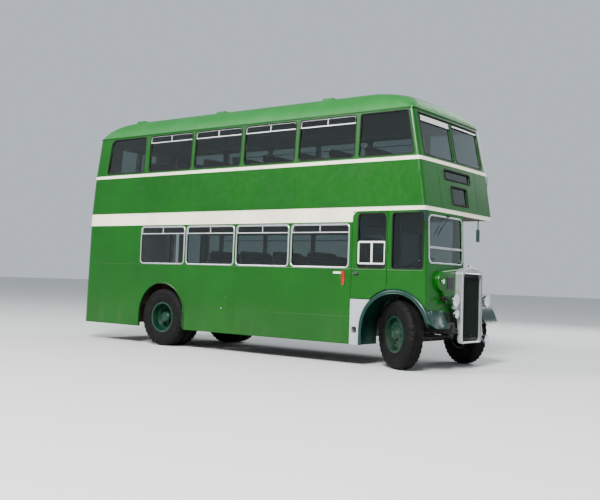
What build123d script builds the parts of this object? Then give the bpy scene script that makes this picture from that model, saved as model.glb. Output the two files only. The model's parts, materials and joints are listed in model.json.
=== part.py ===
from build123d import *
from math import cos, pi, radians, sin
import os

# Half-cab double decker bus with an open rear platform, in millimetres.
# +X is forward, +Y is the nearside (left), +Z is up. The origin is on the ground at the middle of the bus.

os.makedirs("parts", exist_ok=True)

# Driving dimensions of the whole vehicle
HALF_WIDTH = 1143
OVERALL_LENGTH = 7853
FRONT_OVERHANG = 654
REAR_OVERHANG = 2199
WALL = 50
PANEL = 20
FIT = 0.3

NOSE_X = OVERALL_LENGTH / 2
TAIL_X = -OVERALL_LENGTH / 2
FRONT_AXLE = NOSE_X - FRONT_OVERHANG
REAR_AXLE = TAIL_X + REAR_OVERHANG
WHEELBASE = FRONT_AXLE - REAR_AXLE
INNER_Y = HALF_WIDTH - WALL

# Heights of the body's rails above the ground
SKIRT_Z = 325
LOWER_SILL_Z = 1501
LOWER_HEAD_Z = 2171
BAND_Z = 2206
CAB_HEAD_Z = 2372
UPPER_BASE_Z = 2428
WAIST_Z = 3155
UPPER_SILL_Z = 3221
UPPER_HEAD_Z = 3886
CANTRAIL_Z = 3931

# Floors
FLOOR_THICKNESS = 40
LOWER_FLOOR_Z = 760
PLATFORM_Z = 400
CAB_FLOOR_Z = 1000

# The front bulkhead, the platform's edge, and the pillars one bay after another between them
BULKHEAD_X = FRONT_AXLE - 844
PLATFORM_X = REAR_AXLE - 1090
LOWER_PILLAR = 68
UPPER_PILLAR = 85
LOWER_PILLARS = [BULKHEAD_X - 28 - n * 0.238 * WHEELBASE for n in range(5)]
UPPER_PILLARS = [BULKHEAD_X + 32 - n * 0.2365 * WHEELBASE for n in range(5)]
WINDOW_RADIUS = 60
GLASS = 6
GLASS_INSET = 20
GLASS_DEPTH = (HALF_WIDTH - GLASS_INSET - GLASS, HALF_WIDTH - GLASS_INSET)

# Plan of the body at a few levels: height, tail x, nose x, half width, rear corner, front corner
BODY_PLAN = [
    (SKIRT_Z, TAIL_X, NOSE_X - 145, HALF_WIDTH, 150, 50),
    (UPPER_BASE_Z, TAIL_X + 39, NOSE_X - 219, HALF_WIDTH, 150, 50),
    (WAIST_Z, TAIL_X + 105, NOSE_X - 329, HALF_WIDTH, 160, 65),
    (CANTRAIL_Z, TAIL_X + 172, NOSE_X - 489, HALF_WIDTH - 38, 190, 70),
]
# The roof's contours above the cantrail: rise, then how far each edge has come in (side, tail, nose), corners
ROOF_CONTOURS = [
    (0, 0, 0, 0, 190, 70),
    (125, 45, 60, 75, 300, 240),
    (235, 140, 170, 230, 380, 380),
    (320, 290, 340, 450, 430, 430),
    (372, 480, 600, 780, 400, 400),
    (409, 760, 1000, 1250, 250, 250),
]
NOSE_BOW = 15
FRONT_SLICE = 90
REAR_SLICE = 200


def box(x0, x1, y0, y1, z0, z1):
    """A box between its bounds."""
    return Pos((x0 + x1) / 2, (y0 + y1) / 2, (z0 + z1) / 2) * Box(x1 - x0, y1 - y0, z1 - z0)


def prism_x(sketch, x0, x1):
    """A sketch of (y, z) points run from x0 to x1."""
    return extrude(Plane.YZ.offset(x0) * sketch, amount=x1 - x0)


def prism_y(sketch, y0, y1):
    """A sketch of (x, z) points run from y0 to y1."""
    return extrude(Plane.XZ.offset(-y1) * sketch, amount=y1 - y0)


def outline(points, radius=0):
    """A closed outline through the points, with rounded corners if a radius is given."""
    face = make_face(Polyline(*points, close=True))
    return fillet(face.vertices(), radius) if radius else face


def pane(x0, x1, z0, z1, radius=WINDOW_RADIUS):
    """A rounded rectangle between its bounds."""
    return Pos((x0 + x1) / 2, (z0 + z1) / 2) * RectangleRounded(x1 - x0, z1 - z0, radius)


def span(side, near, far):
    """The y bounds of something between two distances from the centre line, on one side."""
    return sorted((side * near, side * far))


def glazing(sketch):
    """The glass that drops into a window's opening."""
    return offset(sketch, -FIT)


def tube_x(radius, x0, x1, y, z):
    """A round bar along X."""
    return Pos((x0 + x1) / 2, y, z) * Rot(0, 90, 0) * Cylinder(radius, x1 - x0)


def tube_y(radius, y0, y1, x, z):
    """A round bar along Y."""
    return Pos(x, (y0 + y1) / 2, z) * Rot(90, 0, 0) * Cylinder(radius, abs(y1 - y0))


def tube_z(radius, z0, z1, x, y):
    """A round bar along Z."""
    return Pos(x, y, (z0 + z1) / 2) * Cylinder(radius, z1 - z0)


def mirrored(shape):
    """The same piece on the other side of the bus."""
    return mirror(shape, about=Plane.XZ)


def solids_of(*shapes):
    """Several separate solids as one compound."""
    return Compound(children=[s for shape in shapes for s in shape.solids()])


def write(name, *shapes):
    """Writes one node."""
    export_step(solids_of(*shapes), f"parts/{name}.step")


# Butt hinges that carry the door, the bonnet and the emergency door
BARREL = 8
HINGE_PIN = 4
HINGE_LENGTH = 90
HINGE_LEAF = (4, 32)
SHAFT_FIT = 0.05


def hinge(place):
    """A hinge's fixed and moving halves, on a frame of +Z along the pin, +X to what moves and +Y outward."""
    quarter = HINGE_LENGTH / 4
    near, far = HINGE_LEAF
    depth = (-BARREL - 1, -3)
    fixed = Cylinder(HINGE_PIN, HINGE_LENGTH)
    for end in (-1, 1):
        z0, z1 = span(end, quarter, 2 * quarter)
        barrel = Pos(0, 0, (z0 + z1) / 2) * Cylinder(BARREL, quarter)
        fixed = fixed + barrel + box(-far, -near, *depth, z0, z1)
    reach = quarter - FIT
    moving = Cylinder(BARREL, 2 * reach) + box(near, far, *depth, -reach, reach)
    return place * fixed, place * (moving - Cylinder(HINGE_PIN + SHAFT_FIT, HINGE_LENGTH))


# The body's plan at any height, set in from its outer face by a distance
def plan_face(level, inset=0):
    z, tail, nose, half, rear_corner, front_corner = level
    tail, nose, half = tail + inset, nose - inset, half - inset
    rear_r, front_r = max(rear_corner - inset, 12), max(front_corner - inset, 12)
    side_nose = nose - NOSE_BOW
    bend = 1 - cos(pi / 4)
    edges = []
    for side in (-1, 1):
        corner = [
            (side_nose, side * (half - front_r)),
            (side_nose - bend * front_r, side * (half - bend * front_r)),
            (side_nose - front_r, side * half),
        ]
        tail_corner = [
            (tail + rear_r, side * half),
            (tail + bend * rear_r, side * (half - bend * rear_r)),
            (tail, side * (half - rear_r)),
        ]
        edges += [
            ThreePointArc(*corner),
            Line(corner[2], tail_corner[0]),
            ThreePointArc(*tail_corner),
        ]
    edges += [
        Line((tail, half - rear_r), (tail, rear_r - half)),
        ThreePointArc((side_nose, front_r - half), (nose, 0), (side_nose, half - front_r)),
    ]
    return Pos(0, 0, z) * make_face(edges)


def level_at(z):
    """The body's plan at a height between two of its levels."""
    for low, high in zip(BODY_PLAN, BODY_PLAN[1:]):
        if low[0] <= z <= high[0]:
            share = (z - low[0]) / (high[0] - low[0])
            return tuple(a + share * (b - a) for a, b in zip(low, high))


def nose_at(z):
    return level_at(z)[2]


def tail_at(z):
    return level_at(z)[1]


def body_block(low, high, inset=0):
    """The body's solid form between two heights."""
    levels = [level_at(low)] + [level for level in BODY_PLAN if low < level[0] < high] + [level_at(high)]
    return loft([plan_face(level, inset) for level in levels], ruled=True)


def body_shell(low, high, outer=0, inner=WALL):
    """A skin of the body between two heights and two depths."""
    return body_block(low, high, outer) - body_block(low, high, inner)


# Cutters that split the body's shell at its front and rear corners
def beyond(edge, direction, gap=0):
    """Everything ahead of (direction 1) or behind (direction -1) a raked line of (x, z) points."""
    far = direction * 2 * OVERALL_LENGTH
    points = [(x + direction * gap, z) for x, z in edge]
    tips = [(far, points[-1][1]), (far, points[0][1])]
    return prism_y(outline(points + tips), -2 * HALF_WIDTH, 2 * HALF_WIDTH)


SLICE_LEVELS = [BAND_Z - 1, UPPER_BASE_Z, WAIST_Z, CANTRAIL_Z]
FRONT_EDGE = [(nose_at(z) - FRONT_SLICE, z) for z in SLICE_LEVELS]
REAR_EDGE = [(tail_at(z) + REAR_SLICE, z) for z in SLICE_LEVELS]


def split_shell(shell, gap=0):
    """The front, rear, offside and nearside of a shell that goes all round."""
    ahead, behind = beyond(FRONT_EDGE, 1), beyond(REAR_EDGE, -1)
    between = shell - beyond(FRONT_EDGE, 1, -gap) - beyond(REAR_EDGE, -1, -gap)
    nearside = max(between.solids(), key=lambda s: s.center().Y)
    offside = min(between.solids(), key=lambda s: s.center().Y)
    return shell & ahead, shell & behind, offside, nearside


# Side windows: how each runs from pillar to pillar
def bays(pillars, pillar):
    return [(rear + pillar / 2, front - pillar / 2) for front, rear in zip(pillars, pillars[1:])]


LOWER_BAYS = bays(LOWER_PILLARS, LOWER_PILLAR)
UPPER_BAYS = bays(UPPER_PILLARS, UPPER_PILLAR)
REAR_WINDOW_X = TAIL_X + 529
REAR_WINDOW_LEAN = 80
FRONT_PANE_GAP = 15


def rear_side_pane():
    """The rearmost upper window, whose rear edge leans with the tail."""
    front = UPPER_PILLARS[4] - UPPER_PILLAR
    face = outline(
        [
            (REAR_WINDOW_X, UPPER_SILL_Z),
            (front, UPPER_SILL_Z),
            (front, UPPER_HEAD_Z),
            (REAR_WINDOW_X + REAR_WINDOW_LEAN, UPPER_HEAD_Z),
        ]
    )
    tight = face.vertices().group_by(Axis.X)[-1] + [face.vertices().sort_by(Axis.X)[0]]
    face = fillet(tight, WINDOW_RADIUS / 2)
    lean_end = REAR_WINDOW_X + REAR_WINDOW_LEAN + 1
    wide = [v for v in face.vertices() if v.Y > UPPER_HEAD_Z - 1 and v.X < lean_end]
    return fillet(wide, 2 * WINDOW_RADIUS)


def front_side_pane():
    """The foremost upper side window, whose front edge leans with the nose."""
    rear = UPPER_PILLARS[0] + UPPER_PILLAR / 2
    inset = FRONT_SLICE + FRONT_PANE_GAP
    return outline(
        [
            (rear, UPPER_SILL_Z),
            (nose_at(UPPER_SILL_Z) - inset, UPPER_SILL_Z),
            (nose_at(UPPER_HEAD_Z) - inset, UPPER_HEAD_Z),
            (rear, UPPER_HEAD_Z),
        ],
        WINDOW_RADIUS / 2,
    )


UPPER_SIDE_PANES = [pane(*bay, UPPER_SILL_Z, UPPER_HEAD_Z) for bay in UPPER_BAYS]
UPPER_SIDE_PANES += [rear_side_pane(), front_side_pane()]
LOWER_SIDE_PANES = [pane(*bay, LOWER_SILL_Z, LOWER_HEAD_Z) for bay in LOWER_BAYS]

# Upper front: two windows, and the destination and number boxes below them
FRONT_WINDOW_HEAD_Z = UPPER_HEAD_Z - 51
FRONT_WINDOW_EDGE = HALF_WIDTH - 163
FRONT_MULLION = 35
DESTINATION = (-425, 425, WAIST_Z - 243, WAIST_Z - 105)
ROUTE_NUMBER = (-260, 260, WAIST_Z - 620, WAIST_Z - 350)
BLIND_DEPTH = 190


def front_pane(side):
    near, far = sorted((side * FRONT_MULLION, side * FRONT_WINDOW_EDGE))
    return pane(near, far, UPPER_SILL_Z, FRONT_WINDOW_HEAD_Z, 45)


FRONT_PANES = [front_pane(-1), front_pane(1)]
BLIND_PANES = [pane(*DESTINATION, 25), pane(*ROUTE_NUMBER, 25)]

# Emergency door in the upper deck's tail
EXIT_HALF = 560
EXIT_SILL_Z = WAIST_Z - 275
EXIT_HEAD_Z = CANTRAIL_Z - 50
EXIT_GAP = 6
EXIT_DEPTH = 600
EXIT_HINGES_Y = (-380, 380)
EXIT_PANES = [
    pane(side * 270 - 215, side * 270 + 215, UPPER_SILL_Z, EXIT_HEAD_Z - 60, 45) for side in (-1, 1)
]


def exit_hinge(y):
    """Where a hinge of the emergency door stands on the leaning tail."""
    z = EXIT_HEAD_Z - EXIT_GAP / 2
    down = Vector(tail_at(z - 100) - tail_at(z), 0, -100).normalized()
    outward = Vector(0, 1, 0).cross(down)
    return Location(Plane(Vector(tail_at(z), y, z) + outward * BARREL, x_dir=down, z_dir=(0, 1, 0)))


def upper_deck():
    """The upper deck's four walls and their glass, with the tail's emergency door."""
    height = (UPPER_BASE_Z, CANTRAIL_Z)
    front, rear, offside, nearside = split_shell(body_shell(*height))
    glass_shell = body_shell(*height, GLASS_INSET, GLASS_INSET + GLASS)
    front_glass, rear_glass, offside_glass, nearside_glass = split_shell(glass_shell)

    glass = []
    for sketch in UPPER_SIDE_PANES:
        cut = prism_y(sketch, -2 * HALF_WIDTH, 2 * HALF_WIDTH)
        fill = prism_y(glazing(sketch), -2 * HALF_WIDTH, 2 * HALF_WIDTH)
        offside, nearside = offside - cut, nearside - cut
        glass += [offside_glass & fill, nearside_glass & fill]
    for sketch in FRONT_PANES + BLIND_PANES:
        front = front - prism_x(sketch, FRONT_AXLE, NOSE_X)
        glass.append(front_glass & prism_x(glazing(sketch), FRONT_AXLE, NOSE_X))

    depth = (TAIL_X - WALL, TAIL_X + EXIT_DEPTH)
    exit_cut = prism_x(pane(-EXIT_HALF, EXIT_HALF, EXIT_SILL_Z, EXIT_HEAD_Z), *depth)
    leaf_half = EXIT_HALF - EXIT_GAP
    leaf_z = EXIT_SILL_Z + EXIT_GAP, EXIT_HEAD_Z - EXIT_GAP
    leaf_face = pane(-leaf_half, leaf_half, *leaf_z, WINDOW_RADIUS - EXIT_GAP)
    leaf = rear & prism_x(leaf_face, *depth)
    rear = rear - exit_cut
    leaf_glass = []
    for sketch in EXIT_PANES:
        leaf = leaf - prism_x(sketch, *depth)
        leaf_glass.append(rear_glass & prism_x(glazing(sketch), *depth))
    for y in EXIT_HINGES_Y:
        fixed, moving = hinge(exit_hinge(y))
        rear, leaf = rear + fixed, leaf + moving
    return front, rear, offside, nearside, glass, leaf, leaf_glass


# Roof: a dome lofted through its contours, with ventilators along each side
ROOF_THICKNESS = 40
VENT_BAYS = [0.68, 2.7, 4.5]
VENT_Y = HALF_WIDTH - 403
VENT_Z = (CANTRAIL_Z + 285, CANTRAIL_Z + 367)
VENT_HALF_LENGTH = 110
VENT_HALF_WIDTH = 60


def roof_levels():
    z, tail, nose, half = BODY_PLAN[-1][:4]
    return [
        (z + rise, tail + tail_in, nose - nose_in, half - side_in, rear, front)
        for rise, side_in, tail_in, nose_in, rear, front in ROOF_CONTOURS
    ]


def roof():
    outer = loft([plan_face(level) for level in roof_levels()])
    inner = loft(
        [
            Pos(0, 0, -ROOF_THICKNESS * (n > 0)) * plan_face(level, WALL if n == 0 else ROOF_THICKNESS)
            for n, level in enumerate(roof_levels())
        ]
    )
    shape = outer
    for count in VENT_BAYS:
        x = BULKHEAD_X - count * (UPPER_PILLARS[0] - UPPER_PILLARS[1])
        for side in (-1, 1):
            y = span(side, VENT_Y - VENT_HALF_WIDTH, VENT_Y + VENT_HALF_WIDTH)
            vent = box(x - VENT_HALF_LENGTH, x + VENT_HALF_LENGTH, *y, *VENT_Z)
            shape = shape + fillet(vent.edges().filter_by(Axis.Z) + vent.edges().group_by(Axis.Z)[-1], 20)
    return shape - inner


def destination_boxes():
    """The blank boxes behind the front's two small openings."""
    room = body_block(UPPER_BASE_Z, WAIST_Z, WALL + FIT)
    boxes = []
    for low, high, bottom, top in (DESTINATION, ROUTE_NUMBER):
        rear = nose_at(bottom) - WALL - BLIND_DEPTH
        boxes.append(room & box(rear, NOSE_X, low - 30, high + 30, bottom - 25, top + 25))
    return boxes


# Lower deck: flat sides with windows and the rear wheel arches, a rounded tail and an open platform
TYRE_RADIUS = 518
AXLE_Z = TYRE_RADIUS
ARCH_RADIUS = TYRE_RADIUS + 76
ARCH_TOP_Z = 2 * TYRE_RADIUS + 111
REAR_PANE = (120, HALF_WIDTH - 183, LOWER_SILL_Z, LOWER_HEAD_Z - 20)
STEP_PANEL_Z = 1019
REAR_LAMP_Z = 760
REAR_LAMP_Y = HALF_WIDTH - 203
REAR_LAMP_RADIUS = 38
REAR_LAMP_PROUD = 5


def rear_arch():
    """The rear wheel's opening in the skirt."""
    centre_z = ARCH_TOP_Z - ARCH_RADIUS
    round_top = Pos(REAR_AXLE, centre_z) * Circle(ARCH_RADIUS)
    legs = Pos(REAR_AXLE, centre_z / 2) * Rectangle(2 * ARCH_RADIUS, centre_z)
    return prism_y(round_top + legs, -2 * HALF_WIDTH, 2 * HALF_WIDTH)


def lower_side(side):
    """One side of the lower saloon, with its wheel arch and windows, and the glass."""
    start = TAIL_X + REAR_SLICE if side < 0 else PLATFORM_X
    y0, y1 = span(side, INNER_Y, HALF_WIDTH)
    wall = box(start, BULKHEAD_X, y0, y1, SKIRT_Z, BAND_Z) - rear_arch()
    panes = list(LOWER_SIDE_PANES)
    if side > 0:
        panes.append(pane(PLATFORM_X + 90, LOWER_PILLARS[4] - LOWER_PILLAR / 2, LOWER_SILL_Z, LOWER_HEAD_Z))
    glass = []
    for sketch in panes:
        wall = wall - prism_y(sketch, y0 - 1, y1 + 1)
        glass.append(prism_y(glazing(sketch), *span(side, *GLASS_DEPTH)))
    return wall, glass


def rear_lamp(side, extra=0):
    """A round rear lamp let into the tail."""
    x = tail_at(REAR_LAMP_Z)
    return tube_x(REAR_LAMP_RADIUS + extra, x - REAR_LAMP_PROUD, x + WALL, side * REAR_LAMP_Y, REAR_LAMP_Z)


def lower_tail():
    """The rear wall with both rounded corners, the platform's window and the sockets of the lamps."""
    x = (TAIL_X - 1, TAIL_X + REAR_SLICE)
    corner = box(*x, -HALF_WIDTH - 1, HALF_WIDTH + 1, SKIRT_Z, BAND_Z)
    window = pane(*REAR_PANE)
    glass = body_shell(SKIRT_Z, BAND_Z, GLASS_INSET, GLASS_INSET + GLASS) & prism_x(glazing(window), *x)
    wall = (body_shell(SKIRT_Z, BAND_Z) & corner) - prism_x(window, *x)
    for side in (-1, 1):
        wall = wall - rear_lamp(side, FIT)
    return wall, glass


def middle_band():
    """The panel between the decks: deep along the saloon, and a slim strip round the nose."""
    ring = body_shell(BAND_Z, UPPER_BASE_Z)
    ring = ring - box(BULKHEAD_X, NOSE_X, -2 * HALF_WIDTH, 2 * HALF_WIDTH, BAND_Z - 1, CAB_HEAD_Z)
    return split_shell(ring, FIT)


# Floors, with boxes over the rear wheels and a well for the stairs
WHEEL_BOX_Y = HALF_WIDTH - 593
WHEEL_BOX_HALF = TYRE_RADIUS + 85
WHEEL_BOX_TOP_Z = 2 * TYRE_RADIUS + 90
STAIR_X0 = TAIL_X + 260
STAIR_X1 = REAR_AXLE - WHEEL_BOX_HALF - PANEL - 60
STAIR_INNER_Y = -HALF_WIDTH + 663
STAIR_STEPS = 8
STAIR_GUARD = 780


def floors():
    """The lower saloon's floor with the platform below it, and the upper floor."""
    bottom = LOWER_FLOOR_Z - FLOOR_THICKNESS
    saloon = box(PLATFORM_X, BULKHEAD_X, -INNER_Y, INNER_Y, bottom, LOWER_FLOOR_Z)
    for side in (-1, 1):
        half = WHEEL_BOX_HALF
        cover = box(
            REAR_AXLE - half - PANEL,
            REAR_AXLE + half + PANEL,
            *span(side, WHEEL_BOX_Y - PANEL, INNER_Y),
            bottom,
            WHEEL_BOX_TOP_Z + PANEL,
        )
        room = box(REAR_AXLE - half, REAR_AXLE + half, *span(side, WHEEL_BOX_Y, INNER_Y), 0, WHEEL_BOX_TOP_Z)
        saloon = saloon + cover - room
    platform_bottom = PLATFORM_Z - FLOOR_THICKNESS
    riser = box(PLATFORM_X, PLATFORM_X + PANEL, -INNER_Y, INNER_Y, platform_bottom, bottom)
    platform = body_block(platform_bottom, PLATFORM_Z, WALL)
    platform = platform & box(TAIL_X, PLATFORM_X + PANEL, -HALF_WIDTH, HALF_WIDTH, 0, LOWER_FLOOR_Z)
    edge = box(TAIL_X + REAR_SLICE, PLATFORM_X, INNER_Y, HALF_WIDTH, platform_bottom - 25, PLATFORM_Z)
    lower = saloon + riser + platform + edge

    upper = body_block(CAB_HEAD_Z, UPPER_BASE_Z, WALL + FIT)
    well = box(STAIR_X0, STAIR_X1, -INNER_Y - 1, STAIR_INNER_Y, CAB_HEAD_Z - 1, UPPER_BASE_Z + 1)
    return lower, upper - well


def staircase():
    """A straight flight along the offside up to the upper deck, and the panel round its well."""
    rise = (UPPER_BASE_Z - PLATFORM_Z) / (STAIR_STEPS + 1)
    run = (STAIR_X1 - STAIR_X0) / (STAIR_STEPS + 1)
    y0, y1 = FIT - INNER_Y, STAIR_INNER_Y - FIT
    nosing = UPPER_BASE_Z - 20
    slope = [
        (STAIR_X0 + run / 2, PLATFORM_Z + FIT),
        (STAIR_X0 + 2 * run, PLATFORM_Z + FIT),
        (STAIR_X1 - FIT, UPPER_BASE_Z - 2 * rise),
        (STAIR_X1 - FIT, nosing),
        (STAIR_X1 - run, nosing),
        (STAIR_X0 + run / 2, PLATFORM_Z + 1.5 * rise),
    ]
    flight = prism_y(outline(slope), y1 - 25, y1)
    for n in range(STAIR_STEPS):
        x, z = STAIR_X0 + (n + 1) * run, PLATFORM_Z + (n + 1) * rise
        flight = flight + box(x - run / 2, min(x + run, STAIR_X1 - FIT), y0, y1, z - 22, z)
        flight = flight + box(x - run / 2, x - run / 2 + 12, y0, y1, z - rise + FIT, z)
    guard_z = UPPER_BASE_Z + FIT, UPPER_BASE_Z + STAIR_GUARD
    guard = box(STAIR_X0 - 25, STAIR_X1 - 260, STAIR_INNER_Y + FIT, STAIR_INNER_Y + 25, *guard_z)
    guard = guard + box(STAIR_X0 - 25, STAIR_X0 - FIT, y0 + 40, STAIR_INNER_Y + 25, *guard_z)
    return flight, guard


# Cab and bonnet share the front: the cab on the offside, the engine under its lid on the nearside
CAB_INNER_Y = 50
CAB_PANEL_Z = 870
COWL_Z = 1420
BONNET_TOP_Z = 1500
BONNET_BOTTOM_Z = 1012
BONNET_GAP = 8
RAIL_Y = HALF_WIDTH - 713
RAIL_WIDTH = 70
RAIL_Z = (560, LOWER_FLOOR_Z - FLOOR_THICKNESS - FIT)
COWL_Y = 60 - RAIL_Y
BONNET_Y = (CAB_INNER_Y + BONNET_GAP, RAIL_Y - 30)
RADIATOR_X = (NOSE_X - 114, NOSE_X)
BONNET_X = (BULKHEAD_X + WALL + BONNET_GAP, RADIATOR_X[0] - BONNET_GAP)
BONNET_HINGES_X = (BULKHEAD_X + 394, RADIATOR_X[0] - 190)


def bulkheads():
    """The wall behind the cab and the stepped one that closes the saloon off from platform and stairs."""
    top = CAB_HEAD_Z
    front_x = BULKHEAD_X, BULKHEAD_X + WALL
    front = box(*front_x, -INNER_Y, INNER_Y, LOWER_FLOOR_Z - FLOOR_THICKNESS, top)
    front = front + box(*front_x, INNER_Y, HALF_WIDTH, STEP_PANEL_Z, top)
    glass = []
    for side in (-1, 1):
        window = pane(*span(side, 150, HALF_WIDTH - 193), LOWER_SILL_Z, LOWER_HEAD_Z)
        front = front - prism_x(window, BULKHEAD_X - 1, BULKHEAD_X + WALL + 1)
        glass.append(prism_x(glazing(window), BULKHEAD_X + GLASS_INSET, BULKHEAD_X + GLASS_INSET + GLASS))
    valance_z = RAIL_Z[1] + 2 * PANEL, BONNET_BOTTOM_Z - BONNET_GAP
    front = front + box(BULKHEAD_X + 1, RADIATOR_X[0] - FIT, BONNET_Y[1] - PANEL, BONNET_Y[1], *valance_z)

    wall_x = PLATFORM_X, PLATFORM_X + WALL
    side_y = STAIR_INNER_Y + FIT, STAIR_INNER_Y + 30
    rear = box(*wall_x, side_y[0], INNER_Y, LOWER_FLOOR_Z, top)
    rear = rear + box(PLATFORM_X, STAIR_X1 + 30, *side_y, LOWER_FLOOR_Z, top)
    rear = rear + box(STAIR_X1 + FIT, STAIR_X1 + 30, -INNER_Y, side_y[1], LOWER_FLOOR_Z, top)
    doorway = pane(-330, 330, LOWER_FLOOR_Z - 100, LOWER_HEAD_Z + 10, 80)
    rear = rear - prism_x(doorway, wall_x[0] - 1, wall_x[1] + 1)
    window = pane(-STAIR_INNER_Y, HALF_WIDTH - 163, LOWER_SILL_Z, LOWER_HEAD_Z)
    rear = rear - prism_x(window, wall_x[0] - 1, wall_x[1] + 1)
    glass.append(prism_x(glazing(window), PLATFORM_X + GLASS_INSET, PLATFORM_X + GLASS_INSET + GLASS))
    return front, rear, glass


# Front mudguards: a rolled wing over the wheel that sweeps down into an apron
GUARD_CENTRE = (FRONT_AXLE - 52, 563)
GUARD_RADIUS = 633
GUARD_END = radians(52)
GUARD_WAIST = (FRONT_AXLE + 530, 790)
GUARD_TIP = (NOSE_X - 6, 645)
GUARD_DEEP = -300
GUARD_OUTER_Y = HALF_WIDTH + 25
GUARD_INNER_Y = HALF_WIDTH - 518
GUARD_SHEET = 10
GUARD_ROLL = 40
GUARD_LIP = 66
APRON_X = FRONT_AXLE + 430
APRON_CORNER = 110


def guard_block(extra, y0, y1):
    """Everything under the mudguard's line, grown by a margin, for the wing and for what meets it."""
    cx, cz = GUARD_CENTRE
    rise = (cx - GUARD_RADIUS, cz)
    crown, front = [
        (cx + GUARD_RADIUS * cos(angle), cz + GUARD_RADIUS * sin(angle))
        for angle in (radians(115), GUARD_END)
    ]
    sweep = TangentArc(front, GUARD_WAIST, tangent=(sin(GUARD_END), -cos(GUARD_END)))
    face = make_face(
        [
            Line((rise[0], GUARD_DEEP), rise),
            ThreePointArc(rise, crown, front),
            sweep,
            TangentArc(GUARD_WAIST, GUARD_TIP, tangent=sweep % 1),
            Line(GUARD_TIP, (GUARD_TIP[0], GUARD_DEEP)),
            Line((GUARD_TIP[0], GUARD_DEEP), (rise[0], GUARD_DEEP)),
        ]
    )
    return prism_y(offset(face, extra) if extra else face, y0, y1)


def rolled(block, radius):
    """A wing's block with its outer edge rolled over."""
    edges = block.faces().sort_by(Axis.Y)[0].edges().sort_by(Axis.Z)[1:]
    return fillet(edges, radius)


def mudguard():
    """The offside wing: a thin shell, open to the wheel inside a lip, with its apron's corners rounded."""
    outer_y, inner_y = -GUARD_OUTER_Y, -GUARD_INNER_Y
    wing = rolled(guard_block(0, outer_y, inner_y), GUARD_ROLL)
    hollow = guard_block(-GUARD_SHEET, outer_y + GUARD_SHEET, inner_y + 1)
    wing = wing - rolled(hollow, GUARD_ROLL - GUARD_SHEET)
    wing = wing - guard_block(-GUARD_LIP, outer_y - 1, outer_y + GUARD_SHEET + 1)
    reach = (outer_y - 1, inner_y + 1)
    wing = wing - box(TAIL_X, FRONT_AXLE, *reach, 2 * GUARD_DEEP, SKIRT_Z)
    wing = wing - box(FRONT_AXLE, 2 * NOSE_X, *reach, 2 * GUARD_DEEP, GUARD_TIP[1])
    low, high = GUARD_TIP[1], GUARD_TIP[1] + 3 * APRON_CORNER
    apron = prism_x(pane(outer_y, inner_y, low, 2 * high, APRON_CORNER), APRON_X, NOSE_X)
    return wing - (box(APRON_X, NOSE_X, *reach, low, high) - apron)


def step_panel():
    """The panel between the lower wall and the front mudguard, with its toe hole and tread."""
    x0, outer = BULKHEAD_X + FIT, -HALF_WIDTH
    panel = box(x0, FRONT_AXLE - 450, outer, outer + PANEL, SKIRT_Z, STEP_PANEL_Z - FIT)
    panel = panel - guard_block(FIT, 2 * outer, 0)
    panel = panel - prism_y(pane(x0 + 35, x0 + 125, 500, 600, 30), 2 * outer, 0)
    tread = box(x0, x0 + 140, outer + PANEL, outer + 150, 485, 497)
    stay = box(x0, x0 + 30, outer + PANEL, outer + 140, 490, 690)
    return panel + tread + stay


def bonnet_hinge(x):
    """Where a hinge of the bonnet stands, beside the cab's near wall."""
    origin = (x, CAB_INNER_Y + BARREL + 2, BONNET_TOP_Z + BARREL)
    return Location(Plane(origin, x_dir=(0, 1, 0), z_dir=(1, 0, 0)))


def bonnet():
    """The engine's lid, hinged along the cab wall, with louvres in its side."""
    y0, y1 = BONNET_Y
    shoulder = BONNET_TOP_Z - 90
    crown = (y1 * 0.72, BONNET_TOP_Z - 41)
    section = make_face(
        [
            Line((y0, BONNET_TOP_Z - PANEL), (y0, BONNET_TOP_Z)),
            ThreePointArc((y0, BONNET_TOP_Z), crown, (y1, shoulder)),
            Line((y1, shoulder), (y1, BONNET_BOTTOM_Z)),
            Line((y1, BONNET_BOTTOM_Z), (y1 - PANEL, BONNET_BOTTOM_Z)),
            Line((y1 - PANEL, BONNET_BOTTOM_Z), (y1 - PANEL, shoulder - PANEL / 2)),
            ThreePointArc(
                (y1 - PANEL, shoulder - PANEL / 2),
                (crown[0] - PANEL / 2, crown[1] - PANEL),
                (y0, BONNET_TOP_Z - PANEL),
            ),
        ]
    )
    lid = prism_x(section, *BONNET_X)
    first, pitch, count = BONNET_X[0] + 200, 130, 7
    for n in range(count):
        x = first + n * pitch
        lid = lid + box(x, x + 70, y1 - 1, y1 + 14, BONNET_BOTTOM_Z + 80, shoulder - 90)
    for x in BONNET_HINGES_X:
        lid = lid + hinge(bonnet_hinge(x))[1]
    return lid


# Cab: its walls follow the body's plan, and a bulged scuttle reaches forward to the radiator
DOOR_X = (BULKHEAD_X, FRONT_AXLE - 205)
DOOR_Z = (STEP_PANEL_Z + 5, CAB_HEAD_Z - 17)
DOOR_GAP = 6
DOOR_THICKNESS = 44
DOOR_GUARD_GAP = 10
DOOR_HINGES_Z = (1330, 1790, 2280)
CAB_GLASS_HEAD_Z = CAB_HEAD_Z - 43
DOOR_PANE = (BULKHEAD_X + 106, DOOR_X[1] - 33, LOWER_SILL_Z, CAB_GLASS_HEAD_Z)
CAB_SIDE_PANE = (FRONT_AXLE - 127, NOSE_X - 249, LOWER_SILL_Z, CAB_GLASS_HEAD_Z)
CAB_NEAR_PANE = (BULKHEAD_X + 180, NOSE_X - 370, 1570, CAB_GLASS_HEAD_Z)
WINDSCREEN = (-HALF_WIDTH + 110, 5, 1600, 2300)
SCREEN_BAR_Z = 1830
SCREEN_BAR = 24
SCUTTLE_Z = (1000, 1490, 1556)
SCUTTLE_ROLL = 30


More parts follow.
